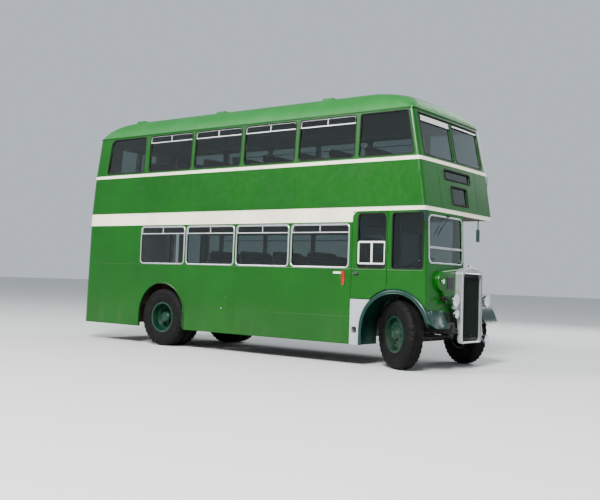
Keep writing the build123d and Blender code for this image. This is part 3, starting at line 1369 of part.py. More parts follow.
write("upper_seat_frames", *upper_frames)
write("track_rod", track_rod())
for side, name in ((-1, "offside"), (1, "nearside")):
    write(f"knuckle_{name}", knuckle(side))
    write(f"front_wheel_{name}", place_front(front_wheel(), side))
    write(f"front_tyre_{name}", place_front(tyre(), side))
    write(f"rear_wheels_{name}", place_rear(rear_wheels(), side))
    write(f"rear_tyres_{name}", *[place_rear(Pos(0, -n * TWIN_SPACING, 0) * tyre(), side) for n in (0, 1)])
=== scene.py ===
"""Looks of the half-cab double decker bus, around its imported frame.

Metres, with +X forward, +Y to the nearside and +Z up.
"""

import json
from math import acos, atan2, cos, hypot, pi, radians, sin, tan

import bmesh
import bpy
from mathutils import Matrix, Vector


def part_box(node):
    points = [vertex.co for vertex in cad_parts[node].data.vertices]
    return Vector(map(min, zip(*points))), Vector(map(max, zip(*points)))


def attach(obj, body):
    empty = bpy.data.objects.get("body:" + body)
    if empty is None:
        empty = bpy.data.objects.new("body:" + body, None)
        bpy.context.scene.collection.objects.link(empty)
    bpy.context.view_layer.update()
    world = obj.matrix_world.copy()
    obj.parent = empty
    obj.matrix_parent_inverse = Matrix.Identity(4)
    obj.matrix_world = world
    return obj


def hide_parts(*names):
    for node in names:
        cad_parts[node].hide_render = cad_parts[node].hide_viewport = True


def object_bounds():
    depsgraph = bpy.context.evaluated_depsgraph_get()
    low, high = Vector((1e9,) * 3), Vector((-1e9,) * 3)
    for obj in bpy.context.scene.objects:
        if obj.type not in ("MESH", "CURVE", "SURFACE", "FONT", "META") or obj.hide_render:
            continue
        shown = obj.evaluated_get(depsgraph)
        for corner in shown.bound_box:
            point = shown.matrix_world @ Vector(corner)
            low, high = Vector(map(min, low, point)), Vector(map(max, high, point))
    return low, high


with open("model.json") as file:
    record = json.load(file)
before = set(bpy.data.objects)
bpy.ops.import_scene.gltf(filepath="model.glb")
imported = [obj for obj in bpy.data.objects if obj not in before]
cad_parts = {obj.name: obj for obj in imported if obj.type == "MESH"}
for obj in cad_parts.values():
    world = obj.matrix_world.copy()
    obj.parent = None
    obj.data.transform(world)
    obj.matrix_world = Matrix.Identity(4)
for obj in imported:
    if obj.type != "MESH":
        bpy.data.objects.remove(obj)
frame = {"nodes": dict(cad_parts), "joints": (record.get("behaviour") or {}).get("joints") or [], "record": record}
cad_low, cad_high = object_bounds()
NODES = frame["nodes"]
JOINTS = {joint["name"]: joint for joint in frame["joints"]}
SIDES = ((-1, "offside"), (1, "nearside"))

# Sizes read from the frame
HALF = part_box("lower_tail_wall")[1][1]
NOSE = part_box("radiator_shell")[1][0]
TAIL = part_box("lower_tail_wall")[0][0]
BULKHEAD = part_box("front_bulkhead")[0][0]
FRONT_AXLE = sum(corner[0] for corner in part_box("front_axle")) / 2
REAR_AXLE = JOINTS["rear_spin_offside"]["pos_m"][0]
RADIATOR_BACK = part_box("radiator_shell")[0][0]
WHEELBASE = FRONT_AXLE - REAR_AXLE

# Heights and window sizes, as in the solids
SKIRT_Z, SILL_Z, HEAD_Z = 0.325, 1.501, 2.171
PLATFORM_Z, CAB_HEAD_Z, DECK_Z = 0.40, 2.372, 2.428
WAIST_Z, UPPER_SILL_Z, UPPER_HEAD_Z, CANTRAIL_Z = 3.155, 3.221, 3.886, 3.931
LEAN_IN = 0.038
LOWER_PILLAR, UPPER_PILLAR = 0.068, 0.085
LOWER_BAY, UPPER_BAY = 0.238 * WHEELBASE, 0.2365 * WHEELBASE
LOWER_PILLARS = [BULKHEAD - 0.028 - n * LOWER_BAY for n in range(5)]
UPPER_PILLARS = [BULKHEAD + 0.032 - n * UPPER_BAY for n in range(5)]
PLATFORM_X = REAR_AXLE - 1.09
# Height, then how far the tail and the nose have come in from the ends
PROFILE = [(SKIRT_Z, 0, 0.145), (DECK_Z, 0.039, 0.219), (WAIST_Z, 0.105, 0.329), (CANTRAIL_Z, 0.172, 0.489)]
TAIL_IN, NOSE_IN = 1, 2
NOSE_BOW = 0.015

# Inner faces lie this far inside the outline, whose corners are rounded like this at the tail and the nose
INNER_DEPTH = 0.03
TAIL_ROUND, NOSE_ROUND = 0.2, 0.16

GREEN = (0.001, 0.072, 0.0015)
TEAL = (0.001, 0.026, 0.018)
WHEEL_GREEN = (0.003, 0.03, 0.015)
CREAM = (0.90, 0.86, 0.68)
INNER_CREAM = (0.52, 0.47, 0.33)
REXINE = (0.075, 0.03, 0.02)
ROAD_DUST = (0.10, 0.09, 0.065)
SHADOW = (0.01, 0.01, 0.01)


# Shader building
class Shader:
    """A material's node tree, with a short call for each kind of node."""

    def __init__(self, name):
        self.material = bpy.data.materials.new(name)
        self.material.use_nodes = True
        self.tree = self.material.node_tree
        self.surface = self.tree.nodes["Principled BSDF"]
        self.coordinates = self.tree.nodes.new("ShaderNodeTexCoord").outputs["Object"]

    def feed(self, socket, value):
        if isinstance(value, bpy.types.NodeSocket):
            self.tree.links.new(value, socket)
        else:
            socket.default_value = value

    def node(self, kind, **inputs):
        node = self.tree.nodes.new(kind)
        for key, value in inputs.items():
            self.feed(node.inputs[key], value)
        return node

    def set(self, **inputs):
        """Feeds the shader's own sockets, such as Base_Color."""
        for key, value in inputs.items():
            self.feed(self.surface.inputs[key.replace("_", " ")], value)

    def finish(self, colour, roughness, height, strength, distance, **inputs):
        """Feeds the shader and its bump, and gives the material."""
        bump = self.node("ShaderNodeBump", Height=height, Strength=strength, Distance=distance)
        self.set(Base_Color=colour, Roughness=roughness, Normal=bump.outputs[0], **inputs)
        return self.material

    def noise(self, scale, detail=3, roughness=0.55, vector=None):
        vector = vector or self.coordinates
        node = self.node("ShaderNodeTexNoise", Vector=vector, Scale=scale, Detail=detail, Roughness=roughness)
        return node.outputs["Fac"]

    def wave(self, scale, axis):
        node = self.node("ShaderNodeTexWave", Vector=self.coordinates, Scale=scale)
        node.bands_direction = axis
        return node.outputs["Fac"]

    def split(self, vector):
        return self.node("ShaderNodeSeparateXYZ", Vector=vector).outputs[:3]

    def stretched(self, scale):
        return self.node("ShaderNodeMapping", Vector=self.coordinates, Scale=scale).outputs[0]

    def math(self, operation, a, b=0.0, c=0.0):
        node = self.tree.nodes.new("ShaderNodeMath")
        node.operation = operation
        for socket, value in zip(node.inputs, (a, b, c)):
            self.feed(socket, value)
        return node.outputs[0]

    def product(self, *values):
        made = values[0]
        for value in values[1:]:
            made = self.math("MULTIPLY", made, value)
        return made

    def length(self, a, b):
        return self.math("SQRT", self.math("ADD", self.product(a, a), self.product(b, b)))

    def below(self, value, limit):
        return self.math("LESS_THAN", value, limit)

    def above(self, value, limit):
        return self.math("GREATER_THAN", value, limit)

    def ramp(self, value, low, high, to_low=0.0, to_high=1.0):
        limits = {"From Min": low, "From Max": high, "To Min": to_low, "To Max": to_high}
        node = self.node("ShaderNodeMapRange", Value=value, **limits)
        node.interpolation_type = "SMOOTHSTEP"
        return node.outputs[0]

    def mix(self, factor, a, b):
        node = self.tree.nodes.new("ShaderNodeMix")
        node.data_type = "RGBA"
        for index, value in ((0, factor), (6, a), (7, b)):
            if isinstance(value, tuple):
                value = (*value, 1)
            self.feed(node.inputs[index], value)
        return node.outputs[2]

    def inside(self):
        """1 on the body's inner faces, inside the outline with its rounded corners."""
        x, y, z = self.split(self.coordinates)
        above_waist = self.math("MAXIMUM", self.math("SUBTRACT", z, WAIST_Z), 0.0)
        lean = self.product(above_waist, LEAN_IN / (CANTRAIL_Z - WAIST_Z))
        width = self.math("ADD", self.math("ABSOLUTE", y), lean)
        mask = self.below(width, HALF - INNER_DEPTH)
        ends = ((-1, TAIL_IN, -TAIL, TAIL_ROUND), (1, NOSE_IN, NOSE - NOSE_BOW, NOSE_ROUND))
        for end, which, limit, radius in ends:
            inset = 0.0
            for low, high in zip(PROFILE, PROFILE[1:]):
                slope = (high[which] - low[which]) / (high[0] - low[0])
                line = self.math("MULTIPLY_ADD", z, slope, low[which] - slope * low[0])
                inset = self.math("MAXIMUM", inset, line)
            a = self.math("SUBTRACT", self.math("ADD", self.product(x, end), inset), limit - radius)
            b = self.math("SUBTRACT", width, HALF - radius)
            round_part = self.length(self.math("MAXIMUM", a, 0.0), self.math("MAXIMUM", b, 0.0))
            flat_part = self.math("MINIMUM", self.math("MAXIMUM", a, b), 0.0)
            away = self.math("ADD", round_part, flat_part)
            mask = self.product(mask, self.below(away, radius - INNER_DEPTH))
        return mask

    def inside_cab(self):
        """1 on the faces that look into the cab."""
        return self.product(self.inside(), self.below(self.split(self.coordinates)[1], 0.03))

    def inside_bulkhead(self):
        """1 on the bulkhead's saloon face."""
        return self.product(self.inside(), self.below(self.split(self.coordinates)[0], BULKHEAD + 0.04))


def scaled(colour, share):
    return tuple(min(1, share * c) for c in colour)


def saloon_masks(s):
    """Masks of the walls under the sills, and of what is under the floor or in a wheel arch, where painted shade
    goes.
    """
    x, _, z = s.split(s.coordinates)
    upper = s.product(s.above(z, DECK_Z), s.below(z, UPPER_SILL_Z - 0.03))
    dado = s.math("MAXIMUM", s.below(z, SILL_Z - 0.03), upper)
    beside_wheel = s.below(s.math("ABSOLUTE", s.math("SUBTRACT", x, REAR_AXLE)), 0.62)
    arch = s.product(beside_wheel, s.below(z, 1.18))
    return dado, s.math("MAXIMUM", arch, s.below(z, 0.7))


def cab_corner(s, curve=0.12):
    """The cream that rounds the cab's upper rear corner."""
    x, y, z = s.split(s.coordinates)
    dx = s.math("SUBTRACT", x, BULKHEAD + curve)
    dz = s.math("SUBTRACT", z, CAB_HEAD_Z - curve)
    return s.product(
        s.above(s.length(dx, dz), curve),
        s.below(dx, 0.0),
        s.above(dz, 0.0),
        s.below(z, DECK_Z),
        s.above(x, BULKHEAD - 0.001),
        s.below(y, 0.02 - HALF),
    )


def enamel(
    name, colour, coat=0.08, roughness=0.33, dust=0.12, inner=None, dado=None, mask=Shader.inside, corner=None
):
    """Coach enamel: faintly uneven, dusty near the road, with its own colours for inner faces."""
    s = Shader(name)
    tone = s.mix(s.ramp(s.noise(0.9), 0.35, 0.7), colour, scaled(colour, 0.82))
    z = s.split(s.coordinates)[2]
    streaks = s.noise(1, 4, vector=s.stretched((5, 5, 0.7)))
    tone = s.mix(s.product(s.ramp(z, 1.0, 0.3), s.ramp(streaks, 0.42, 0.72), dust), tone, ROAD_DUST)
    if corner:
        tone = s.mix(corner(s), tone, CREAM)
    if inner:
        panel = s.mix(s.ramp(s.noise(30, 4), 0.3, 0.7), inner, scaled(inner, 0.85))
        if dado:
            under_sill, painted_shade_under_floor = saloon_masks(s)
            # Painted shade: inner faces under the floor and in the rear wheel arches are painted near-black.
            panel = s.mix(painted_shade_under_floor, s.mix(under_sill, panel, dado), SHADOW)
        tone = s.mix(mask(s), tone, panel)
    rough = s.ramp(s.noise(11, 5), 0.3, 0.8, roughness - 0.05, roughness + 0.08)
    gloss = {"Coat_Weight": coat, "Coat_Roughness": 0.06, "Specular_IOR_Level": 0.3}
    return s.finish(tone, rough, s.noise(40, 2), 0.03, 0.0004, **gloss)


def roof_paint():
    """Green outside with wear and panel seams, off-white inside."""
    s = Shader("roof_enamel")
    normal = s.split(s.node("ShaderNodeNewGeometry").outputs["True Normal"])[2]
    x = s.split(s.coordinates)[0]
    tone = s.mix(s.ramp(s.noise(2.2, 6), 0.4, 0.75), (0.004, 0.12, 0.012), (0.009, 0.14, 0.022))
    along = s.math("FRACT", s.math("DIVIDE", s.math("SUBTRACT", x, UPPER_PILLARS[0]), UPPER_BAY))
    seam = s.product(s.ramp(along, 0.0, 0.006), s.ramp(along, 1.0, 0.994))
    tone = s.mix(s.ramp(seam, 1.0, 0.0, 0.0, 0.55), tone, (0.004, 0.06, 0.01))
    tone = s.mix(s.below(normal, -0.05), tone, (0.62, 0.6, 0.5))
    rough = s.ramp(s.noise(9, 5), 0.3, 0.8, 0.48, 0.62)
    return s.finish(tone, rough, seam, 0.4, 0.002, Specular_IOR_Level=0.35)


def metal(name, colour, roughness=0.25, metallic=1.0):
    """Bright metal with fine brushing and dull patches."""
    s = Shader(name)
    brush = s.noise(1, 3, vector=s.stretched((40, 40, 400)))
    tone = s.mix(s.ramp(s.noise(6, 4), 0.4, 0.75), colour, scaled(colour, 0.8))
    rough = s.ramp(brush, 0.3, 0.7, roughness, roughness + 0.12)
    return s.finish(tone, rough, brush, 0.05, 0.0003, Metallic=metallic)


def rubber(name, colour=(0.002, 0.002, 0.002), dust=0.3):
    """Black rubber with a grey bloom and road dust."""
    s = Shader(name)
    tone = s.mix(s.product(s.ramp(s.noise(12, 6), 0.42, 0.78), dust), colour, (0.02, 0.018, 0.015))
    rough = s.ramp(s.noise(60), 0.3, 0.7, 0.62, 0.8)
    return s.finish(tone, rough, s.noise(180), 0.25, 0.0008, Specular_IOR_Level=0.16)


def floor_boards(name, colour):
    """Ribbed floor covering, worn along the gangway."""
    s = Shader(name)
    ribs = s.wave(18, "Y")
    gangway = s.ramp(s.math("ABSOLUTE", s.split(s.coordinates)[1]), 0.3, 0.05)
    worn = s.product(gangway, s.ramp(s.noise(7, 5), 0.35, 0.7))
    tone = s.mix(worn, colour, scaled(colour, 2.2))
    return s.finish(s.mix(s.ramp(ribs, 0.1, 0.4), scaled(colour, 0.5), tone), 0.75, ribs, 0.5, 0.002)


def moquette():
    """Woven seat cloth: a small check of brown, green and fawn over a fine weave."""
    s = Shader("moquette")
    x, _, z = s.split(s.coordinates)
    run = s.math("ADD", x, z)
    along = s.ramp(s.math("PINGPONG", run, 0.024), 0.006, 0.018)
    tone = s.mix(s.ramp(s.wave(14, "Y"), 0.3, 0.7), (0.10, 0.028, 0.016), (0.018, 0.05, 0.026))
    tone = s.mix(s.product(along, 0.45), tone, (0.28, 0.17, 0.07))
    weave = s.product(s.wave(260, "Y"), s.ramp(s.math("PINGPONG", run, 0.0015), 0.0, 0.0015))
    tone = s.mix(s.ramp(weave, 0.0, 0.5, 0.0, 0.35), tone, (0.02, 0.012, 0.01))
    return s.finish(tone, 0.95, weave, 0.5, 0.0012, Sheen_Weight=0.35, Sheen_Roughness=0.5)


def window_glass():
    """Flat glass with a grey-green tint and a faint ripple."""
    s = Shader("window_glass")
    tint = (0.30, 0.36, 0.35, 1)
    return s.finish(tint, 0.015, s.noise(1.3, 2), 0.04, 0.004, IOR=1.5, Transmission_Weight=1)


def lens(name, colour, metallic=0.35):
    """A ribbed lamp glass over a bright bowl."""
    s = Shader(name)
    ribs = s.wave(70, "Y")
    tone = s.mix(s.ramp(ribs, 0.2, 0.8), colour, scaled(colour, 0.75))
    return s.finish(tone, 0.08, ribs, 0.3, 0.001, Coat_Weight=1, Metallic=metallic)


def grille():
    """Near-black green slats over a fine core."""
    s = Shader("radiator_slats")
    core = s.product(s.wave(90, "Y"), s.wave(60, "Z"))
    tone = s.mix(s.ramp(core, 0.1, 0.6), (0.001, 0.003, 0.002), (0.004, 0.014, 0.008))
    return s.finish(tone, 0.45, core, 0.4, 0.001, Specular_IOR_Level=0.2)


def chassis_paint(name, colour):
    """Old chassis paint under oil and road dirt."""
    s = Shader(name)
    tone = s.mix(s.ramp(s.noise(5, 7, 0.65), 0.45, 0.7), colour, (0.055, 0.045, 0.034))
    return s.finish(tone, s.ramp(s.noise(20, 4), 0.3, 0.7, 0.4, 0.85), s.noise(60, 5), 0.35, 0.002)


BLACK = rubber("gasket_rubber", (0.01, 0.01, 0.01), dust=0.1)
CHROME = metal("chrome", (0.75, 0.76, 0.78), 0.08)
SILVER = metal("window_alloy", (0.66, 0.67, 0.68), 0.3)
WHITE = enamel("white_enamel", (0.78, 0.78, 0.74), dust=0.1)
CREAM_PAINT = enamel("cream_enamel", CREAM, inner=INNER_CREAM)
CAB_GREEN = enamel("cab_enamel", GREEN, inner=(0.05, 0.12, 0.06), mask=Shader.inside_cab, corner=cab_corner)
SALOON = {"inner": INNER_CREAM, "dado": REXINE}
TRIM_GREEN = enamel("trim_green", GREEN)
GLOSS_BLACK = enamel("gloss_black", (0.008, 0.008, 0.008), dust=0.1)
DARK_SLATE = enamel("blank_blind", (0.02, 0.022, 0.024), coat=0.2, roughness=0.55, dust=0)
RED_LENS = lens("red_lens", (0.34, 0.004, 0.003), metallic=0.0)
CLEAR_LENS = lens("clear_lens", (0.78, 0.80, 0.82))
LEATHERCLOTH = rubber("leathercloth", (0.045, 0.018, 0.012), dust=0.1)

MATERIALS = {
    "green": enamel("green_enamel", GREEN, **SALOON),
    "dark_green": enamel("dark_green_enamel", TEAL, coat=0.1, roughness=0.32, dust=0.15),
    "wheel_green": enamel("wheel_green_enamel", WHEEL_GREEN, coat=0.1, roughness=0.36, dust=0.2),
    "cream": CREAM_PAINT,
    "panel_cream": enamel("panel_cream_enamel", INNER_CREAM, coat=0.5, dust=0.1),
    "panel_grey": enamel("grey_enamel", (0.38, 0.39, 0.41), dust=0.3),
    "rail_cream": enamel("rail_cream_enamel", (0.76, 0.73, 0.62), dust=0.1),
    "chassis_black": chassis_paint("chassis_black", (0.014, 0.014, 0.014)),
    "black": GLOSS_BLACK,
    "engine_grey": chassis_paint("engine_grey", (0.09, 0.11, 0.10)),
    "radiator_silver": metal("radiator_shell_metal", (0.48, 0.50, 0.51), 0.36, metallic=0.7),
    "radiator_dark": grille(),
    "bright_frame": metal("vent_alloy", (0.80, 0.80, 0.79), 0.3, metallic=0.6),
    "lamp_silver": CHROME,
    "floor_brown": floor_boards("floor_lino", (0.075, 0.045, 0.028)),
    "stair_brown": floor_boards("stair_lino", (0.10, 0.07, 0.05)),
    "seat_cloth": moquette(),
    "seat_frame": metal("seat_tube", (0.45, 0.45, 0.44), 0.3),
    "tyre": rubber("tyre_rubber"),
    "glass": window_glass(),
}
OWN_PAINT = {
    "roof": roof_paint(),
    "cab_shell": CAB_GREEN,
    "cab_door": CAB_GREEN,
    "front_bulkhead": enamel(
        "bulkhead_enamel", GREEN, mask=Shader.inside_bulkhead, corner=cab_corner, **SALOON
    ),
    "bonnet": TRIM_GREEN,
}
SLOTS = {entry["node"]: entry["material_slot"] for entry in frame["record"]["subparts"]}
for name, node in NODES.items():
    node.data.materials.clear()
    node.data.materials.append(OWN_PAINT.get(name) or MATERIALS[SLOTS[name]])


# Surfaces: each gives a point from two of its coordinates and how far out from the panel it is
def inset(z, which):
    """How far the tail or the nose has come in at a height."""
    for low, high in zip(PROFILE, PROFILE[1:]):
        if z <= high[0] or high is PROFILE[-1]:
            share = (z - low[0]) / (high[0] - low[0])
            return low[which] + share * (high[which] - low[which])


def nose_at(z):
    return NOSE - inset(z, NOSE_IN)


def tail_at(z):
    return TAIL + inset(z, TAIL_IN)


def half_at(z):
    return HALF - LEAN_IN * max(0, z - WAIST_Z) / (CANTRAIL_Z - WAIST_Z)


def on_side(side):
    return lambda x, z, out: Vector((x, side * (half_at(z) + out), z))


def on_nose(y, z, out):
    return Vector((nose_at(z) - NOSE_BOW * (y / (HALF - 0.065)) ** 2 + out, y, z))


def on_tail(y, z, out):
    return Vector((tail_at(z) - out, y, z))


def flat_x(x, direction=1):
    return lambda y, z, out: Vector((x + direction * out, y, z))


def flat_y(y):
    return lambda x, z, out: Vector((x, y + out, z))


def flat_z(z):
    return lambda x, y, out: Vector((x, y, z + out))


def set_back(surface, depth):
    return lambda u, v, out: surface(u, v, out - depth)


def facing(place, way):
    """A frame whose +Y points a way."""
    turns = {"forward": (-90, "Z"), "backward": (90, "Z"), "offside": (180, "Z"), "up": (90, "X")}
    angle, axis = turns[way]
    return Matrix.Translation(place) @ Matrix.Rotation(radians(angle), 4, axis)


# Mesh building: each piece is one mesh made of swept strips, plates and turned forms
class Piece:
    def __init__(self):
        self.mesh = bmesh.new()

    def sweep(self, rings, closed=False):
        """Skins a row of closed rings; an open row gets end caps."""
        rows = [[self.mesh.verts.new(point) for point in ring] for ring in rings]
        pairs = list(zip(rows, rows[1:])) + ([(rows[-1], rows[0])] if closed else [])
        for a, b in pairs:
            for i in range(len(a)):
                j = (i + 1) % len(a)
                self.mesh.faces.new((a[i], a[j], b[j], b[i]))
        if not closed:
            self.mesh.faces.new(rows[0][::-1])
            self.mesh.faces.new(rows[-1])
        return self

    def box(self, low, high):
        (x0, y0, z0), (x1, y1, z1) = low, high
        ring = [(y0, z0), (y1, z0), (y1, z1), (y0, z1)]
        return self.sweep([[Vector((x, y, z)) for y, z in ring] for x in (x0, x1)])

    def surround(self, surface, outline, inner, outer, height, sink=0.004):
        """A raised frame that follows a window's outline, with a rounded face."""
        section = [(-inner, -sink), (-inner, height * 0.6), (-inner * 0.5, height)]
        section += [(outer * 0.6, height), (outer, height * 0.3), (outer, -sink)]
        rings = []
        for (u, v), (nu, nv) in outline:
            rings.append([surface(u + nu * t, v + nv * t, out) for t, out in section])
        return self.sweep(rings, closed=True)

    def strip(self, surface, start, end, width, height, steps=1, sink=0.002):
        """A slim raised strip between two places on a surface."""
        (u0, v0), (u1, v1) = start, end
        du, dv = u1 - u0, v1 - v0
        nu, nv = (way / hypot(du, dv) * width / 2 for way in (-dv, du))
        section = [(-1, -sink), (-1, height * 0.5), (-0.5, height)]
        section += [(0.5, height), (1, height * 0.5), (1, -sink)]
        rings = []
        for n in range(steps + 1):
            u, v = u0 + du * n / steps, v0 + dv * n / steps
            rings.append([surface(u + nu * t, v + nv * t, out) for t, out in section])
        return self.sweep(rings)

    def plate(self, surface, outline, height, sink=0.002):
        """A flat plate with a soft edge over an outline on a surface."""
        rings = []
        for grow, out in ((0, -sink), (0, height * 0.6), (-height * 0.5, height)):
            rings.append([surface(u + nu * grow, v + nv * grow, out) for (u, v), (nu, nv) in outline])
        return self.sweep(rings)

    def turned(self, matrix, profile, steps=32):
        """A form turned about its local Y from (radius, y) points; a radius of 0 closes the end."""
        rings = []
        for radius, y in profile:
            radius = max(radius, 1e-5)
            angles = [2 * pi * n / steps for n in range(steps)]
            rings.append([matrix @ Vector((radius * cos(a), y, radius * sin(a))) for a in angles])
        return self.sweep(rings)

    def tube(self, points, radius, steps=8):
        """A round bar along a run of points."""
        rings = []
        for n, point in enumerate(points):
            ahead = (points[min(n + 1, len(points) - 1)] - points[max(n - 1, 0)]).normalized()
            across = ahead.cross(Vector((0, 0, 1)))
            across = across.normalized() if across.length > 1e-4 else Vector((0, 1, 0))
            up = across.cross(ahead)
            turns = [2 * pi * k / steps for k in range(steps)]
            rings.append([point + radius * (cos(t) * across + sin(t) * up) for t in turns])
        return self.sweep(rings)

    def done(self, name, material, body="body", slot=None):
        bmesh.ops.recalc_face_normals(self.mesh, faces=self.mesh.faces)
        data = bpy.data.meshes.new(name)
        self.mesh.to_mesh(data)
        self.mesh.free()
        data.materials.append(material)
        data.shade_smooth()
        data.set_sharp_from_angle(angle=radians(35))
        made = bpy.data.objects.new(name, data)
        bpy.context.scene.collection.objects.link(made)
        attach(made, body)
        return made


def rounded(corners, radius, steps=6):
    """A polygon's points with rounded corners, each with its outward direction."""
    radii = radius if isinstance(radius, list) else [radius] * len(corners)
    made = []
    for n, (corner, r) in enumerate(zip(corners, radii)):
        here = Vector(corner)
        back = (Vector(corners[n - 1]) - here).normalized()
        ahead = (Vector(corners[(n + 1) % len(corners)]) - here).normalized()
        half = acos(max(-1, min(1, back.dot(ahead)))) / 2
        reach = r / tan(half)
        centre = here + (back + ahead).normalized() * r / sin(half)
        first = (here + back * reach - centre).normalized()
        last = (here + ahead * reach - centre).normalized()
        for k in range(steps + 1):
            way = first.lerp(last, k / steps).normalized()
            made.append((tuple(centre + way * r), tuple(way)))
    return made


def window(u0, u1, v0, v1, radius=0.06, steps=6, head=None):
    """A window's outline; head gives its ends at the top where they differ."""
    head0, head1 = head or (u0, u1)
    return rounded([(u0, v0), (u1, v0), (head1, v1), (head0, v1)], radius, steps)


def framed(name, surface, outlines, section, material=BLACK, body="body"):
    """One piece of frames round several openings in a surface."""
    piece = Piece()
    for outline in outlines:
        piece.surround(surface, outline, *section)
    piece.done(name, material, body)


def bays(pillars, pillar):
    return [(rear + pillar / 2, front - pillar / 2) for front, rear in zip(pillars, pillars[1:])]


# Frames round openings: the width over the glass, the width over the panel, and the height above it
SIDE_GASKET = (0.007, 0.011, 0.005)
CAB_GASKET = (0.007, 0.010, 0.005)
END_GASKET = (0.007, 0.010, 0.006)
TAIL_GASKET = (0.007, 0.012, 0.006)
BULKHEAD_GASKET = (0.006, 0.012, 0.006)
BRIGHT_FRAME = (0.008, 0.016, 0.007)
SCREEN_FRAME = (0.008, 0.016, 0.009)
BLIND_FRAME = (0.008, 0.022, 0.009)
PANE_FRAME = (0.004, 0.024, 0.016)
MOUTH_BEAD = (0.004, 0.010, 0.005)
DOOR_SURROUND = (0.0, 0.016, 0.004)

# Windows: black rubber round the upper ones and the cab's, bright frames round the lower ones
LOWER_BAYS = bays(LOWER_PILLARS, LOWER_PILLAR)
UPPER_BAYS = bays(UPPER_PILLARS, UPPER_PILLAR)
FRONT_PANES = ((-0.98, -0.035), (0.035, 0.98))
END_RADIUS = 0.045


def upper_windows():
    rearmost, foremost = UPPER_PILLARS[4] - UPPER_PILLAR, UPPER_PILLARS[0] + UPPER_PILLAR / 2
    levels = (UPPER_SILL_Z, UPPER_HEAD_Z)
    outlines = [window(*bay, *levels) for bay in UPPER_BAYS]
    rear_head = (TAIL + 0.609, rearmost)
    outlines.append(window(TAIL + 0.529, rearmost, *levels, [0.03, 0.03, 0.03, 0.12], head=rear_head))
    sill_end, head_end = (nose_at(z) - 0.105 for z in levels)
    outlines.append(window(foremost, sill_end, *levels, 0.03, head=(foremost, head_end)))
    for side, name in SIDES:
        framed(f"upper_gaskets_{name}", on_side(side), outlines, SIDE_GASKET)
    panes = [window(*pane, UPPER_SILL_Z, 3.835, END_RADIUS) for pane in FRONT_PANES]
    framed("upper_front_gaskets", on_nose, panes, END_GASKET)


def lower_windows():
    for side, name in SIDES:
        outlines = [window(*bay, SILL_Z, HEAD_Z) for bay in LOWER_BAYS]
        if side > 0:
            outlines.append(window(PLATFORM_X + 0.09, LOWER_PILLARS[4] - LOWER_PILLAR / 2, SILL_Z, HEAD_Z))
        framed(f"lower_window_frames_{name}", on_side(side), outlines, BRIGHT_FRAME, SILVER)
    tail = window(0.12, HALF - 0.183, SILL_Z, HEAD_Z - 0.02)
    framed("tail_window_gasket", on_tail, [tail], TAIL_GASKET)
    piece = Piece()
    for low, high in ((0.193 - HALF, -0.15), (0.15, HALF - 0.193)):
        piece.surround(flat_x(BULKHEAD + 0.05), window(low, high, SILL_Z, HEAD_Z), *BULKHEAD_GASKET)
    piece.surround(flat_x(PLATFORM_X, -1), window(0.48, HALF - 0.163, SILL_Z, HEAD_Z), *BULKHEAD_GASKET)
    piece.done("bulkhead_window_gaskets", BLACK)


CAB_GLASS_HEAD_Z = CAB_HEAD_Z - 0.043
DOOR_GLASS = (BULKHEAD + 0.106, FRONT_AXLE - 0.238, SILL_Z, CAB_GLASS_HEAD_Z)
CAB_GLASS = (FRONT_AXLE - 0.127, NOSE - 0.249, SILL_Z, CAB_GLASS_HEAD_Z)
NEARSIDE_GLASS = (BULKHEAD + 0.18, NOSE - 0.37, 1.57, CAB_GLASS_HEAD_Z)
SCREEN = (-HALF + 0.11, 0.005, 1.6, 2.3)


def cab_windows():
    off = on_side(-1)
    framed("door_gasket", off, [window(*DOOR_GLASS)], CAB_GASKET, body="cab_door")
    piece = Piece().surround(off, window(*CAB_GLASS, END_RADIUS), *CAB_GASKET)
    piece.surround(flat_y(0.05), window(*NEARSIDE_GLASS, 0.08), *CAB_GASKET)
    piece.done("cab_gaskets", BLACK)


def door_pane():
    """The door's sliding pane: a white frame with one upright."""
    sunk = set_back(on_side(-1), 0.014)
    rear, front = DOOR_GLASS[0] + 0.02, DOOR_GLASS[1] - 0.02
    piece = Piece().surround(sunk, window(rear, front, 1.575, 1.885, 0.012), *PANE_FRAME, sink=0.003)
    middle = (rear + front) / 2
    piece.strip(sunk, (middle, 1.57), (middle, 1.89), 0.03, 0.014)
    piece.done("door_sliding_frame", WHITE, "cab_door")


def windscreen():
    """A bright frame with its bar, and the wiper hung from the head."""
    bar_z, hub_y, hub_z = 1.83, -0.47, 2.322
    piece = Piece().surround(on_nose, window(*SCREEN, 0.08), *SCREEN_FRAME)
    left, right = SCREEN[0] + 0.006, SCREEN[1] - 0.006
    piece.strip(on_nose, (left, bar_z), (right, bar_z), 0.03, 0.006, steps=8, sink=0.01)
    piece.done("windscreen_frame", SILVER)
    arm = [on_nose(hub_y, hub_z, 0.018), on_nose(-0.6, 2.2, 0.024), on_nose(-0.735, 2.075, 0.016)]
    blade = [on_nose(-0.66, 2.155, 0.010), on_nose(-0.73, 2.08, 0.008), on_nose(-0.80, 2.005, 0.010)]
    hub = [(0, -0.002), (0.018, -0.002), (0.018, 0.02), (0.012, 0.028), (0, 0.028)]
    piece = Piece().tube(arm, 0.0045).tube(blade, 0.006)
    piece.turned(facing(on_nose(hub_y, hub_z, 0), "forward"), hub, 20)
    piece.done("windscreen_wiper", GLOSS_BLACK)


def blinds():
    """The two destination boxes' frames, with their blank blinds behind them."""
    boxes = ((0.425, 2.912, 3.05), (0.26, 2.535, 2.805))
    openings = [window(-half, half, low, high, 0.025) for half, low, high in boxes]
    framed("blind_frames", on_nose, openings, BLIND_FRAME)
    faces = Piece()
    for half, low, high in ((0.41, 2.92, 3.042), (0.245, 2.545, 2.795)):
        faces.plate(set_back(on_nose, 0.045), window(-half, half, low, high, 0.01), 0.003)
    faces.done("blank_blinds", DARK_SLATE)


def louvre(z):
    """The nose's surface tilted about a height, so that a slat's lower edge stands out."""
    return lambda y, v, out: on_nose(y, v, out + 0.35 * (z - v))


